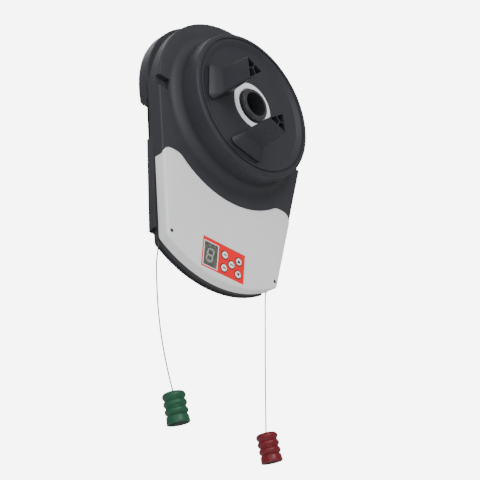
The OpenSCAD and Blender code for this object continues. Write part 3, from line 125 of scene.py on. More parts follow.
def braided_cord_finish():
    """Grey polyester, whose two sets of strands cross at the braid's angle."""
    finish = bpy.data.materials.new("braided_cord")
    finish.use_nodes = True
    tree = finish.node_tree
    link = tree.links.new
    shader = tree.nodes["Principled BSDF"]
    place = add_node(tree, "TexCoord")
    strands = []
    for lean in (1, -1):
        turn = add_node(tree, "Mapping", {"Rotation": (0.0, lean * math.radians(38), 0.0)})
        wave = add_node(tree, "TexWave", {"Scale": 520.0, "Distortion": 0.6}, bands_direction="Z")
        link(place.outputs["Object"], turn.inputs["Vector"])
        link(turn.outputs["Vector"], wave.inputs["Vector"])
        strands.append(wave)
    weave = add_node(tree, "Math", operation="MULTIPLY")
    link(strands[0].outputs["Fac"], weave.inputs[0])
    link(strands[1].outputs["Fac"], weave.inputs[1])
    tint = add_node(tree, "ValToRGB")
    tint.color_ramp.elements[0].color = (0.015, 0.015, 0.015, 1)
    tint.color_ramp.elements[0].position = 0.1
    tint.color_ramp.elements[1].color = (0.09, 0.09, 0.088, 1)
    tint.color_ramp.elements[1].position = 0.7
    bump = add_node(tree, "Bump", {"Strength": 0.6, "Distance": 0.0002})
    link(weave.outputs[0], tint.inputs["Fac"])
    link(weave.outputs[0], bump.inputs["Height"])
    link(tint.outputs["Color"], shader.inputs["Base Color"])
    link(bump.outputs["Normal"], shader.inputs["Normal"])
    shader.inputs["Roughness"].default_value = 0.62
    return finish


def hanging_cord(name, route):
    """Round cord along the points of its route."""
    line = bpy.data.curves.new(name, "CURVE")
    line.dimensions = "3D"
    line.bevel_depth = cord_diameter / 2
    line.bevel_resolution = 4
    line.use_fill_caps = True
    spline = line.splines.new("POLY")
    spline.points.add(len(route) - 1)
    for point, (x, y, z) in zip(spline.points, route):
        point.co = (x * mm, y * mm, z * mm, 1)
    cord = bpy.data.objects.new(name, line)
    bpy.context.scene.collection.objects.link(cord)
    cord.data.materials.append(cord_finish)
    return cord


def coat(finish, *names):
    """Give CAD nodes that keep their own shape a finish."""
    for name in names:
        nodes[name].data.materials.clear()
        nodes[name].data.materials.append(finish)


cord_finish = braided_cord_finish()
green_line = hanging_cord("green_pull_cord", green_route)
red_line = hanging_cord("red_pull_cord", red_route)
for line, node, body in (
    (green_line, "green_cord", "green_pull_body"),
    (red_line, "red_cord", "red_pull_body"),
):
    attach(line, body)
    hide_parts(node)
coat(cord_finish, "green_inner_cord", "red_inner_cord")


# The grips are injection-moulded in coloured polypropylene: three round beads over a flared
# skirt, hollow from below, with the cord's knot hidden under the top. They are a little glossy,
# with painted shade in the grooves and inside the mouth. Sections are radius and height in
# millimetres.
grip_radius = 14.0
grip_length = 37.0
grip_top = 4.0
grip_gap = 0.2
grip_lean = 15
grip_tip = 6
bead_radius = 4.5
bead_pitch = 9.0
bead_top_angle = 90
bead_angle = 56
bead_step = 10
bore_radius = 9.4
bore_corner = 2.0
skirt_section = [
    (11.7, 9.6), (12.9, 9.0), (13.3, 8.4), (14.0, 1.2), (13.9, 0.4), (13.4, 0.0), (12.8, 0.0),
    (12.5, 0.4), (9.8, 8.4), (9.4, 10.0),
]
painted_shade_from = 36.2
faces_axis = -0.01
weld_distance = 0.000002


def grip_outline():
    """Half section of a grip, as radius and height below its top."""
    outline = [(0.0, -grip_gap)]
    for bead in range(3):
        middle = -grip_gap - bead_radius - bead * bead_pitch
        first = bead_angle if bead else bead_top_angle
        for angle in range(first, -bead_angle - 1, -bead_step):
            outline.append((
                grip_radius - bead_radius + bead_radius * math.cos(math.radians(angle)),
                middle + bead_radius * math.sin(math.radians(angle)),
            ))
    foot = -grip_gap - grip_length
    roof = -grip_gap - grip_top
    return outline + [(radius, foot + height) for radius, height in skirt_section] + [
        (bore_radius, roof - bore_corner), (bore_radius - bore_corner, roof), (0.0, roof),
    ]


def mesh_piece(name, work, smooth):
    """Make an object of a bmesh, with its faces outward and its shallow edges smooth."""
    bmesh.ops.remove_doubles(work, verts=work.verts, dist=weld_distance)
    bmesh.ops.recalc_face_normals(work, faces=work.faces)
    data = bpy.data.meshes.new(name)
    work.to_mesh(data)
    work.free()
    piece = bpy.data.objects.new(name, data)
    bpy.context.scene.collection.objects.link(piece)
    bpy.ops.object.select_all(action="DESELECT")
    piece.select_set(True)
    bpy.context.view_layer.objects.active = piece
    bpy.ops.object.shade_smooth_by_angle(angle=math.radians(smooth))
    return piece


def turned(name, outline, place, sides=96, closed=False, smooth=35):
    """Turn a half section, given in millimetres, about its axis; place maps it to the frame."""
    work = bmesh.new()
    rings = []
    for radius, height in outline:
        count = sides if radius > 0 else 1
        rings.append([
            work.verts.new(place @ Vector((
                radius * mm * math.cos(2 * math.pi * i / sides),
                radius * mm * math.sin(2 * math.pi * i / sides),
                height * mm,
            )))
            for i in range(count)
        ])
    pairs = list(zip(rings, rings[1:]))
    if closed:
        pairs.append((rings[-1], rings[0]))
    for low, high in pairs:
        for i in range(sides):
            corners = [
                low[i % len(low)], low[(i + 1) % len(low)],
                high[(i + 1) % len(high)], high[i % len(high)],
            ]
            work.faces.new(list(dict.fromkeys(corners)))
    return mesh_piece(name, work, smooth)


def finish_of(name, colour, roughness, metallic=0.0, mottle=0.08, grain=2600.0, depth=0.00002,
              edge=0.0003, rub_and_edge_light=0.35, corner_shade=0.35, brushed=None, gloss_level=0.5, nook=0.006):
    """Procedural finish: mottle, uneven gloss, grain, pale edges of wear and painted highlight,
    and painted shade in corners.
    """
    finish = bpy.data.materials.new(name)
    finish.use_nodes = True
    tree = finish.node_tree
    link = tree.links.new
    shader = tree.nodes["Principled BSDF"]
    shader.inputs["Metallic"].default_value = metallic
    shader.inputs["Specular IOR Level"].default_value = gloss_level
    place = add_node(tree, "TexCoord")

    # Slow drift of the colour, with a finer mottle in it
    cloud = add_node(tree, "TexNoise", {"Scale": 24.0, "Detail": 6.0, "Roughness": 0.62})
    shade = add_node(tree, "ValToRGB")
    shade.color_ramp.elements[0].position = 0.32
    shade.color_ramp.elements[0].color = (*[c * (1 - mottle) for c in colour], 1)
    shade.color_ramp.elements[1].position = 0.68
    shade.color_ramp.elements[1].color = (*[min(1, c * (1 + mottle)) for c in colour], 1)
    link(place.outputs["Object"], cloud.inputs["Vector"])
    link(cloud.outputs["Fac"], shade.inputs["Fac"])

    # Grain of the mould or the drawn stock
    grit = add_node(tree, "TexNoise", {"Scale": 1.0, "Detail": 3.0, "Roughness": 0.5})
    stretch = add_node(tree, "Mapping", {"Scale": brushed or (grain, grain, grain)})
    link(place.outputs["Object"], stretch.inputs["Vector"])
    link(stretch.outputs["Vector"], grit.inputs["Vector"])

    # Edges turn pale where they are rubbed, and the same pale edge is painted highlight: the
    # rounded normal leaves the true one there
    corner = add_node(tree, "Bevel", {"Radius": edge}, samples=4)
    true = add_node(tree, "NewGeometry")
    meet = add_node(tree, "VectorMath", operation="DOT_PRODUCT")
    link(corner.outputs["Normal"], meet.inputs[0])
    link(true.outputs["Normal"], meet.inputs[1])
    near = add_node(tree, "MapRange", {"From Min": 0.998, "From Max": 0.86})
    link(meet.outputs["Value"], near.inputs["Value"])
    chips = add_node(tree, "TexNoise", {"Scale": 210.0, "Detail": 4.0})
    link(place.outputs["Object"], chips.inputs["Vector"])
    patchy = add_node(tree, "MapRange", {"From Min": 0.42, "From Max": 0.66, "To Max": rub_and_edge_light})
    link(chips.outputs["Fac"], patchy.inputs["Value"])
    wear_and_edge_light = add_node(tree, "Math", operation="MULTIPLY", use_clamp=True)
    link(near.outputs["Result"], wear_and_edge_light.inputs[0])
    link(patchy.outputs["Result"], wear_and_edge_light.inputs[1])
    pale_edge_colour = add_node(tree, "Mix", data_type="RGBA")
    pale_edge_colour.inputs[7].default_value = (*[min(1, c * 1.5 + 0.05) for c in colour], 1)
    link(wear_and_edge_light.outputs[0], pale_edge_colour.inputs[0])
    link(shade.outputs["Color"], pale_edge_colour.inputs[6])

    # Painted shade: the colour darkens in corners and hollows that the ambient occlusion finds,
    # patchy with the mottle
    shelter = add_node(tree, "AmbientOcclusion", {"Distance": nook}, samples=4)
    deep = add_node(tree, "MapRange", {"From Min": 0.85, "From Max": 0.35, "To Max": corner_shade})
    link(shelter.outputs["AO"], deep.inputs["Value"])
    shade_share = add_node(tree, "Math", operation="MULTIPLY", use_clamp=True)
    link(deep.outputs["Result"], shade_share.inputs[0])
    link(cloud.outputs["Fac"], shade_share.inputs[1])
    corner_shaded = add_node(tree, "Mix", data_type="RGBA")
    corner_shaded.inputs[7].default_value = (*[c * 0.3 + 0.006 for c in colour], 1)
    link(shade_share.outputs[0], corner_shaded.inputs[0])
    link(pale_edge_colour.outputs[2], corner_shaded.inputs[6])
    link(corner_shaded.outputs[2], shader.inputs["Base Color"])

    # Uneven gloss, with faint hairline scratches in it
    hair = add_node(tree, "Mapping", {"Rotation": (0.4, 0.9, 0.3), "Scale": (1500.0, 40.0, 40.0)})
    lines = add_node(tree, "TexNoise", {"Scale": 1.0, "Detail": 2.0})
    link(place.outputs["Object"], hair.inputs["Vector"])
    link(hair.outputs["Vector"], lines.inputs["Vector"])
    thin = add_node(tree, "MapRange", {"From Min": 0.66, "From Max": 0.74, "To Max": 0.12})
    link(lines.outputs["Fac"], thin.inputs["Value"])
    sheen = add_node(tree, "MapRange", {
        "From Min": 0.3, "From Max": 0.7, "To Min": roughness - 0.05, "To Max": roughness + 0.06,
    })
    link(cloud.outputs["Fac"], sheen.inputs["Value"])
    gloss = add_node(tree, "Math", operation="ADD")
    link(sheen.outputs["Result"], gloss.inputs[0])
    link(thin.outputs["Result"], gloss.inputs[1])
    link(gloss.outputs[0], shader.inputs["Roughness"])

    # Fine grain over the slight waviness of the surface
    wavy = add_node(tree, "TexNoise", {"Scale": 55.0, "Detail": 2.0})
    link(place.outputs["Object"], wavy.inputs["Vector"])
    swell = add_node(tree, "Bump", {"Strength": 0.10, "Distance": 0.0002})
    link(wavy.outputs["Fac"], swell.inputs["Height"])
    link(corner.outputs["Normal"], swell.inputs["Normal"])
    bump = add_node(tree, "Bump", {"Strength": 0.35, "Distance": depth})
    link(grit.outputs["Fac"], bump.inputs["Height"])
    link(swell.outputs["Normal"], bump.inputs["Normal"])
    link(bump.outputs["Normal"], shader.inputs["Normal"])
    return finish


green_plastic = finish_of("green_polypropylene", (0.007, 0.072, 0.034), 0.36, corner_shade=1.9,
                          nook=0.014, gloss_level=0.35)
red_plastic = finish_of("red_polypropylene", (0.145, 0.004, 0.009), 0.36, corner_shade=1.9,
                        nook=0.014, gloss_level=0.35)
# The inside of each grip's mouth takes a darker copy of its plastic, as painted shade.
green_painted_shade = finish_of("green_painted_shade", (0.004, 0.028, 0.014), 0.5, rub_and_edge_light=0.0)
red_painted_shade = finish_of("red_painted_shade", (0.055, 0.003, 0.006), 0.5, rub_and_edge_light=0.0)
for name, node, body, end, finish, hollow in (
    ("green_grip_moulding", "green_grip", "green_pull_body", green_route[-1], green_plastic,
     green_painted_shade),
    ("red_grip_moulding", "red_grip", "red_pull_body", red_route[-1], red_plastic, red_painted_shade),
):
    tipped = Matrix.Rotation(math.radians(-grip_tip), 4, "X") @ Matrix.Rotation(
        math.radians(-grip_lean), 4, "Y")
    hang = Matrix.Translation(Vector(end) * mm) @ tipped
    grip = turned(name, grip_outline(), hang)
    grip.data.materials.append(finish)
    grip.data.materials.append(hollow)
    # Faces inside the mouth take the darker copy: painted shade.
    upright = hang.inverted()
    for face in grip.data.polygons:
        middle = upright @ face.center / mm
        outward = upright.to_3x3() @ face.normal
        facing_in = outward.x * middle.x + outward.y * middle.y < faces_axis
        if facing_in and -middle.z < painted_shade_from:
            face.material_index = 1
    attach(grip, body)
    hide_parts(node)


# The rear housing is a deep charcoal ABS moulding with the motor bulge at its top left. It takes
# the sleeve, the gearbox and the transformer, and the front housing is screwed on from behind.
# The bulge is fuller at its rear edge, to the left and over its floor, than at the flat back.
bulge_centre = (-22.0, 18.0)
bulge_back = 19.05
bulge_core = (98.0, 106.0)
bulge_side = (-95.0, -125.0)
bulge_floor = (0.0, -22.0)
bulge_out = 2.5
bulge_drop = 3.0
bulge_floor_drop = 2.5
copy_weld_distance = 0.000004


def moulding(name, node, finish, smooth=32):
    """Give a node's own shape rounded, merged shading and a finish."""
    source = nodes[node]
    piece = bpy.data.objects.new(name, source.data.copy())
    bpy.context.scene.collection.objects.link(piece)
    bpy.ops.object.select_all(action="DESELECT")
    piece.select_set(True)
    bpy.context.view_layer.objects.active = piece
    bpy.ops.mesh.customdata_custom_splitnormals_clear()
    bpy.ops.object.mode_set(mode="EDIT")
    bpy.ops.mesh.select_all(action="SELECT")
    bpy.ops.mesh.remove_doubles(threshold=copy_weld_distance)
    bpy.ops.object.mode_set(mode="OBJECT")
    bpy.ops.object.shade_smooth_by_angle(angle=math.radians(smooth))
    piece.data.materials.clear()
    piece.data.materials.append(finish)
    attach(piece, source["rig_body"])
    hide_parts(node)
    return piece


def ease(value, start, end):
    """Smooth step from 0 at start to 1 at end."""
    share = min(1.0, max(0.0, (value - start) / (end - start)))
    return share * share * (3 - 2 * share)


charcoal = finish_of("charcoal_abs", (0.030, 0.031, 0.036), 0.50, edge=0.0005, gloss_level=0.26)
rear = moulding("rear_shell", "rear_housing", charcoal)
for vertex in rear.data.vertices:
    x, level, z = vertex.co.x / mm, -vertex.co.y / mm, vertex.co.z / mm
    if level < bulge_back:
        near = ease(math.hypot(x - bulge_centre[0], z - bulge_centre[1]), *bulge_core)
        vertex.co.x -= bulge_out * near * ease(x, *bulge_side) * mm
        vertex.co.z -= (bulge_drop + bulge_floor_drop * ease(z, *bulge_floor)) * near * mm

# The front housing is moulded in the same ABS, with a stepped collar that stands up behind the
# drum. It is screwed to the rear housing from behind.
moulding("front_shell", "front_housing", charcoal)

# The lower cover is a pale grey ABS shell with a soft edge and a sunken place for the key panel.
# One small screw at each side holds it.
pale_abs = finish_of("pale_abs", (0.78, 0.78, 0.77), 0.38, mottle=0.02, edge=0.0004,
                     rub_and_edge_light=0.15, corner_shade=0.25, gloss_level=0.4)
moulding("cover_shell", "lower_cover", pale_abs)

# The drum is glass-filled nylon turned smooth: a grooved rim, a cone and a sunken disc, with a
# deep hub behind for the bush. Its section is radius and level in millimetres, where a level is
# a distance forward of the bulge's rear face.
facing = Matrix.Rotation(math.radians(90), 4, "X")
drum_nylon = finish_of("drum_nylon", (0.027, 0.028, 0.034), 0.48, edge=0.0004, gloss_level=0.24)
drum_outline = [
    (110.6, 58.8), (109.6, 72.0), (108.5, 82.0), (108.3, 83.2), (107.6, 84.1), (106.7, 84.8),
    (105.5, 85.0), (102.4, 85.0), (102.0, 84.7), (102.0, 83.4), (99.0, 83.4), (99.0, 84.7),
    (98.6, 85.0), (97.0, 85.0), (96.2, 84.7), (90.4, 80.4), (89.4, 80.0), (35.5, 80.0),
    (35.5, 78.0), (30.05, 78.0), (30.05, 61.8), (36.8, 61.8), (36.8, 77.0), (104.9, 77.0),
    (104.9, 58.8),
]
drum = turned("drum_moulding", drum_outline, facing, sides=200, closed=True, smooth=30)
drum.data.materials.append(drum_nylon)
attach(drum, "drum")
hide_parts("drive_drum")

# The forks are separate hollow horns of the same nylon with a flared foot and three thin ribs in
# the open tip. Screws hold them to the drum from behind. Corners are distances along and across
# a fork's own direction, and stations are a share from foot to tip with its level.
fork_middle_angle = 223.5
fork_spread = 43.5
fork_foot = [(78.6, 17.2), (75.4, -24.4), (47.1, 2.1)]
fork_tip = [(68.4, 9.5), (62.6, -17.5), (44.5, 2.2)]
fork_foot_radius = 7.0
fork_tip_radius = 2.2
fork_wall = 1.4
fork_rib = 1.3
fork_rib_reach = 30.0
fork_pocket = 30.0
fork_end = 140.0
fork_overrun = 2.0
fork_smooth = 24
flare_share, flare_level = 0.8, 99.0
fork_stations = [(0.0, 80.1), (0.0, 82.4), (0.22, 84.4), (0.45, 87.6), (0.68, 93.0),
                 (flare_share, flare_level), (1.0, fork_end)]
pocket_level = fork_end - fork_pocket
pocket_share = flare_share + (1 - flare_share) * (pocket_level - flare_level) / (
    fork_end - flare_level)


def fork_ring(share, inset=0.0, steps=6):
    """Rounded three-sided outline of a fork at a share of the way from foot to tip."""
    corners = [Vector(a).lerp(Vector(b), share) for a, b in zip(fork_foot, fork_tip)]
    radius = fork_foot_radius + share * (fork_tip_radius - fork_foot_radius) - inset
    ring = []
    for i in range(3):
        into = corners[i] - corners[i - 1]
        out = corners[(i + 1) % 3] - corners[i]
        start = math.atan2(into.x, -into.y)
        sweep = (math.atan2(out.x, -out.y) - start) % (2 * math.pi) - 2 * math.pi
        for step in range(steps + 1):
            angle = start + sweep * step / steps
            ring.append(corners[i] + radius * Vector((math.cos(angle), math.sin(angle))))
    return ring


def fork_to_frame(side, point, level):
    """Turn a fork's own place into the shared frame; the left fork is the mirrored one."""
    angle = math.radians(fork_middle_angle + (fork_spread if side else -fork_spread))
    x, y = point.x, point.y if side else -point.y
    return Vector((
        (x * math.cos(angle) - y * math.sin(angle)) * mm,
        -level * mm,
        (x * math.sin(angle) + y * math.cos(angle)) * mm,
    ))


def lofted(name, rings, smooth=30):
    """Close a stack of equal rings of points into a solid."""
    work = bmesh.new()
    loops = [[work.verts.new(point) for point in ring] for ring in rings]
    count = len(loops[0])
    for low, high in zip(loops, loops[1:]):
        for i in range(count):
            j = (i + 1) % count
            work.faces.new([low[i], low[j], high[j], high[i]])
    work.faces.new(loops[0])
    work.faces.new(loops[-1])
    return mesh_piece(name, work, smooth)


def carve(piece, tool):
    """Cut a tool out of a piece, and delete the tool."""
    cutter = piece.modifiers.new("carve", "BOOLEAN")
    cutter.operation = "DIFFERENCE"
    cutter.solver = "MANIFOLD"
    cutter.object = tool
    bpy.ops.object.select_all(action="DESELECT")
    piece.select_set(True)
    bpy.context.view_layer.objects.active = piece
    bpy.ops.object.modifier_apply(modifier="carve")
    bpy.data.objects.remove(tool)


for side, name, node in ((0, "left_horn", "left_fork"), (1, "lower_horn", "lower_fork")):
    horn = lofted(name, [
        [fork_to_frame(side, point, level) for point in fork_ring(share)]
        for share, level in fork_stations
    ])
    hollow = lofted(name + "_hollow", [
        [fork_to_frame(side, point, level) for point in fork_ring(share, fork_wall)]
        for share, level in (
            (pocket_share, pocket_level),
            (1.0, fork_end),
            (1.0, fork_end + fork_overrun / 2),
        )
    ])
    centre = (Vector(fork_tip[0]) + Vector(fork_tip[1]) + Vector(fork_tip[2])) / 3
    for i in range(3):
        aim = ((Vector(fork_tip[i]) + Vector(fork_tip[(i + 1) % 3])) / 2 - centre).normalized()
        across = Vector((-aim.y, aim.x)) * fork_rib / 2
        reach = aim * fork_rib_reach
        blade = lofted(name + "_rib", [
            [fork_to_frame(side, point, level) for point in (
                centre - across, centre + reach - across, centre + reach + across,
                centre + across)]
            for level in (pocket_level - fork_overrun, fork_end + fork_overrun)
        ])
        carve(hollow, blade)
    carve(horn, hollow)
    bpy.ops.object.shade_smooth_by_angle(angle=math.radians(fork_smooth))
    horn.data.materials.clear()
    horn.data.materials.append(drum_nylon)
    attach(horn, "drum")
    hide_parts(node)

# The screws of the forks are zinc-plated steel. They come in from behind, through the drum's
# disc, and end inside the forks' feet.
fork_screw_end = 83.0
zinc_plate = finish_of("zinc_plate", (0.50, 0.50, 0.52), 0.34, metallic=1.0, mottle=0.12,
                       brushed=(1400.0, 60.0, 1400.0), rub_and_edge_light=0.2)
moulding("fork_screw_set", "fork_screws", zinc_plate)
bpy.ops.object.mode_set(mode="EDIT")
bpy.ops.mesh.select_all(action="SELECT")
bpy.ops.mesh.bisect(plane_co=(0, -fork_screw_end * mm, 0), plane_no=(0, -1, 0), use_fill=True,
                    clear_outer=True)
bpy.ops.object.mode_set(mode="OBJECT")

# The bush is white acetal, pressed into the drum, and turns on the black sleeve. Its mouth is
# stepped for the ring that keeps it there. The section is radius and level in millimetres.
acetal = finish_of("white_acetal", (0.88, 0.88, 0.92), 0.30, mottle=0.02, rub_and_edge_light=0.1, corner_shade=0.3)
bush_outline = [
    (23.35, 61.5), (30.0, 61.5), (30.0, 78.2), (35.3, 78.2), (35.3, 80.6), (34.9, 81.0),
    (27.1, 81.0), (26.6, 80.6), (26.6, 78.4), (23.35, 78.4),
]
bush = turned("bush_moulding", bush_outline, facing, sides=128, closed=True)
bush.data.materials.append(acetal)
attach(bush, "drum")
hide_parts("drum_bush")

# The sleeve is a steel tube with a black satin paint, whose flange bears on the back of the
# chassis plate. The spring ring in its groove is phosphated dark, as the cover's screws are.
black_paint = finish_of("black_satin_paint", (0.026, 0.026, 0.030), 0.40, grain=700.0,
                        depth=0.00003, rub_and_edge_light=0.8)
moulding("sleeve_tube", "axle_sleeve", black_paint)
dark_plate = finish_of("dark_phosphate", (0.060, 0.060, 0.066), 0.45, metallic=0.6, mottle=0.15,
                       rub_and_edge_light=0.6)
moulding("sleeve_ring", "sleeve_circlip", dark_plate)
coat(dark_plate, "cover_screws")

# The key panel is a red self-coloured plate with a window and five round holes. It lies in the
# cover's pocket, and a glossy white frame lies in its window.
panel_red = finish_of("panel_red", (0.88, 0.004, 0.010), 0.5, mottle=0.03, rub_and_edge_light=0.0, corner_shade=0.3,
                      gloss_level=0.25)
moulding("panel_plate", "key_panel", panel_red)
white_gloss = finish_of("white_gloss", (0.93, 0.94, 0.92), 0.25, mottle=0.02, rub_and_edge_light=0.1)
moulding("window_border", "window_frame", white_gloss)

# Each key is a white cap, and a dark ring on the panel round it is painted shadow of the gap
# round the cap. The cap's mark is printed: a black arrow up or down, and for the other three a
# plain green bar.
# Black ink prints the arrows, and the same black paints the shadow rings round the keys.
black_ink_and_shadow = finish_of("black_ink_and_shadow", (0.012, 0.012, 0.014), 0.5, rub_and_edge_light=0.0, corner_shade=0.0)
green_ink = finish_of("green_ink", (0.04, 0.16, 0.07), 0.5, rub_and_edge_light=0.0, corner_shade=0.0)
ink_t = 0.05
shadow_ring_t = 0.12
key_face = 46.9
panel_face = 46.0
# The dark ring round a key: painted shadow of its gap.
shadow_ring_inner, shadow_ring_outer = 4.9, 6.2
shadow_ring_outline = [
    (shadow_ring_inner, panel_face), (shadow_ring_outer, panel_face), (shadow_ring_outer, panel_face + shadow_ring_t),
    (shadow_ring_inner, panel_face + shadow_ring_t),
]
arrow_half, arrow_base, arrow_tip = 3.2, 2.3, 3.0
bar_w, bar_h = 6.4, 2.1


def printed(name, points, level, ink, body, thick=ink_t):
    """Print a flat shape, given as x and z in millimetres, on a face that looks to the front."""
    mark = lofted(name, [
        [Vector((x * mm, -height * mm, z * mm)) for x, z in points]
        for height in (level, level + thick)
    ])
    mark.data.materials.append(ink)
    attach(mark, body)


def bar_points(x, z, width, height, steps=4):
    """Outline of a flat bar with round ends."""
    points = []
    for side, start in ((1, -90), (-1, 90)):
        for i in range(steps + 1):
            angle = math.radians(start + 180 * i / steps)
            points.append((
                x + side * (width - height) / 2 + height / 2 * math.cos(angle),
                z + height / 2 * math.sin(angle),
            ))
    return points


for key in ("set", "close", "stop", "up", "down"):
    node = key + "_button"
    moulding(node + "_cap", node, white_gloss)
    low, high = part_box(node)
    x, z = (low[0] + high[0]) / 2 / mm, (low[2] + high[2]) / 2 / mm
    # The dark ring round each cap is painted shadow of the gap between cap and panel.
    rim = turned(key + "_rim", shadow_ring_outline, Matrix.Translation((x * mm, 0, z * mm)) @ facing,
                 sides=48, closed=True)
    rim.data.materials.append(black_ink_and_shadow)
    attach(rim, "casing")
    if key in ("up", "down"):
        way = 1 if key == "up" else -1
        foot = z - arrow_base * way
        points = [(x - arrow_half, foot), (x + arrow_half, foot), (x, z + arrow_tip * way)]
        printed(key + "_mark", points, key_face, black_ink_and_shadow, key + "_key")
    else:
        printed(key + "_mark", bar_points(x, z, bar_w, bar_h), key_face, green_ink, key + "_key")

# The display is one seven-segment digit on the control board. Unlit, its segments show as pale
# bars on the grey mask, and a clear acrylic pane lies in the white frame over them.
display_grey = finish_of("display_grey", (0.20, 0.205, 0.18), 0.5, rub_and_edge_light=0.0)
segment_white = finish_of("segment_white", (0.85, 0.86, 0.78), 0.4, rub_and_edge_light=0.0, corner_shade=0.0)
digit_x = -25.2
digit_z = -234.5
half_w, half_h = 4.75, 8.75
digit_stroke = 2.1
digit_slant = 0.16
digit_gap = 0.35
display_face = 44.2
mask_t = 0.12
mask_corners = [(-36.8, -251.0), (-13.5, -251.0), (-13.5, -218.0), (-36.8, -218.0)]
segments = {
    "top": (-half_w, half_h, half_w, half_h),
    "middle": (-half_w, 0, half_w, 0),
    "bottom": (-half_w, -half_h, half_w, -half_h),
    "upper_left": (-half_w, 0, -half_w, half_h),
    "upper_right": (half_w, 0, half_w, half_h),
    "lower_left": (-half_w, -half_h, -half_w, 0),
    "lower_right": (half_w, -half_h, half_w, 0),
}


def segment_points(x0, z0, x1, z1):
    """Pointed bar from one corner of the digit to the next, leaning with the digit."""
    along = Vector((x1 - x0, z1 - z0)).normalized()
    across = Vector((-along.y, along.x)) * digit_stroke / 2
    start = Vector((x0, z0)) + along * digit_gap
    end = Vector((x1, z1)) - along * digit_gap
    inset = along * digit_stroke / 2
    points = [
        start, start + inset - across, end - inset - across, end, end - inset + across,
        start + inset + across,
    ]
    return [(digit_x + p.x + p.y * digit_slant, digit_z + p.y) for p in points]


def clear_acrylic():
    """Clear pane with faint smears."""
    finish = bpy.data.materials.new("clear_acrylic")
    finish.use_nodes = True
    tree = finish.node_tree
    shader = tree.nodes["Principled BSDF"]
    shader.inputs["Base Color"].default_value = (0.86, 0.88, 0.86, 1)
    shader.inputs["Transmission Weight"].default_value = 1.0
    shader.inputs["IOR"].default_value = 1.49
    place = add_node(tree, "TexCoord")
    smear = add_node(tree, "TexNoise", {"Scale": 120.0, "Detail": 4.0})
    gloss = add_node(tree, "MapRange", {"To Min": 0.02, "To Max": 0.16})
    tree.links.new(place.outputs["Object"], smear.inputs["Vector"])
    tree.links.new(smear.outputs["Fac"], gloss.inputs["Value"])
    tree.links.new(gloss.outputs["Result"], shader.inputs["Roughness"])
    return finish


printed("display_mask", mask_corners, display_face, display_grey, "casing", thick=mask_t)
for part, ends in segments.items():
    printed("segment_" + part, segment_points(*ends), display_face + mask_t, segment_white,
            "casing", thick=mask_t)
coat(display_grey, "display_module")
moulding("window_pane", "display_window", clear_acrylic())

# The control board behind the panel is green laminate. Its keys' switches are black, its other
# parts are blue and soldered on, and plated screws hold it on the rear housing's posts.
coat(finish_of("solder_mask", (0.012, 0.10, 0.04), 0.32, mottle=0.18), "control_board")
coat(finish_of("relay_blue", (0.03, 0.07, 0.22), 0.4), "board_parts")
coat(finish_of("switch_black", (0.02, 0.02, 0.021), 0.45), "key_switches", "motor_end_bell")
coat(zinc_plate, "board_screws")

# The motor in the bulge has a drawn and plated can, with a black moulded bell on its end. The
# transformer has a lacquered core of stacked sheet and a coil under amber tape.
coat(finish_of("motor_plate", (0.36, 0.36, 0.38), 0.36, metallic=1.0,
               brushed=(60.0, 1400.0, 1400.0)), "motor_can")
coat(finish_of("core_lacquer", (0.05, 0.05, 0.055), 0.42, grain=500.0), "transformer_core")
coat(finish_of("winding_tape", (0.55, 0.36, 0.04), 0.35, grain=900.0), "transformer_coil")

# The gears are a natural nylon ring in the drum, an oiled nylon worm wheel, a steel worm and a
# cast pinion. The shaft turns in bronze bushes in the cast case and the plated chassis plate.
coat(finish_of("gear_nylon", (0.62, 0.62, 0.60), 0.42, mottle=0.04), "ring_gear")
coat(finish_of("oiled_nylon", (0.55, 0.46, 0.24), 0.4, mottle=0.06), "worm_wheel")
coat(finish_of("zinc_cast", (0.40, 0.41, 0.43), 0.5, metallic=1.0, grain=900.0, depth=0.00005),
     "gearbox_case", "drive_pinion")
coat(finish_of("sintered_bronze", (0.50, 0.30, 0.10), 0.5, metallic=1.0), "shaft_bushes")
coat(zinc_plate, "gearbox_cover", "pinion_shaft", "worm", "chassis_plate", "chassis_screws")

# The release is a yellow nylon rocker, to which the inner cords are tied, and plated steel
# pieces that pass its turn on to the clutch.
coat(finish_of("lever_nylon", (0.50, 0.36, 0.06), 0.42, mottle=0.05), "release_rocker")
coat(zinc_plate, "clutch_collar", "shift_fork", "release_cam", "release_link")

# At the back are the plated screws of the housings, the plated collar with its two black set
# screws, and the rubber grommet. The cords' bushes in the foot are rubber too.
coat(zinc_plate, "housing_screws", "axle_collar")
coat(black_paint, "collar_screws")
coat(finish_of("black_rubber", (0.016, 0.016, 0.016), 0.7, grain=1600.0, rub_and_edge_light=0.1),
     "cable_grommet", "cord_bushes")

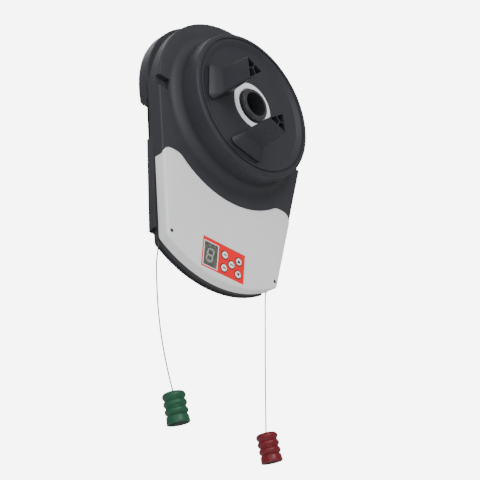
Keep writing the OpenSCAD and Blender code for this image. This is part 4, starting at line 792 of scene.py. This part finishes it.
# A pale floor well below the object, a white surround and soft lights. The camera sees the
# surround at full white, and it lights the object more gently.
floor_level = -1.4
floor_size = 12
floor_glow = 0.3
surround_light = 0.50
surround_seen = 7.0
bpy.ops.object.select_all(action="DESELECT")
bpy.ops.mesh.primitive_plane_add(size=floor_size, location=(0, 0, floor_level))
floor = bpy.context.object
floor.name = "studio_floor"
floor_paint = bpy.data.materials.new("floor_paint")
floor_paint.use_nodes = True
floor_shader = floor_paint.node_tree.nodes["Principled BSDF"]
floor_shader.inputs["Base Color"].default_value = (0.8, 0.8, 0.8, 1)
floor_shader.inputs["Roughness"].default_value = 0.9
floor_shader.inputs["Emission Color"].default_value = (1, 1, 1, 1)
floor_shader.inputs["Emission Strength"].default_value = floor_glow
floor.data.materials.append(floor_paint)
surround = bpy.data.worlds.new("white_surround")
bpy.context.scene.world = surround
surround.use_nodes = True
sky = surround.node_tree
soft_light = sky.nodes["Background"]
soft_light.inputs["Color"].default_value = (1, 1, 1, 1)
soft_light.inputs["Strength"].default_value = surround_light
seen_white = add_node(sky, "Background", {"Color": (1, 1, 1, 1), "Strength": surround_seen})
path = add_node(sky, "LightPath")
choose = add_node(sky, "MixShader")
sky.links.new(path.outputs["Is Camera Ray"], choose.inputs[0])
sky.links.new(soft_light.outputs[0], choose.inputs[1])
sky.links.new(seen_white.outputs[0], choose.inputs[2])
sky.links.new(choose.outputs[0], sky.nodes["World Output"].inputs["Surface"])


def softbox(name, place, aim, size, power, tint=(1.0, 1.0, 1.0)):
    """Square light at a place, turned to where it aims."""
    data = bpy.data.lights.new(name, "AREA")
    data.shape = "SQUARE"
    data.size = size
    data.energy = power
    data.color = tint
    lamp = bpy.data.objects.new(name, data)
    bpy.context.scene.collection.objects.link(lamp)
    lamp.location = place
    lamp.rotation_euler = (Vector(aim) - Vector(place)).to_track_quat("-Z", "Y").to_euler()


softbox("front_key", (-0.9, -2.2, 0.9), (0, 0, -0.1), 1.4, 40)
softbox("left_fill", (-2.0, -0.6, 0.4), (0, 0, -0.1), 1.5, 8)
softbox("top_rim", (-0.4, 1.2, 1.8), (0, 0, 0), 1.2, 9)
softbox("low_fill", (-1.4, -1.4, -0.5), (0, 0, -0.1), 1.2, 8, (0.80, 0.88, 1.0))
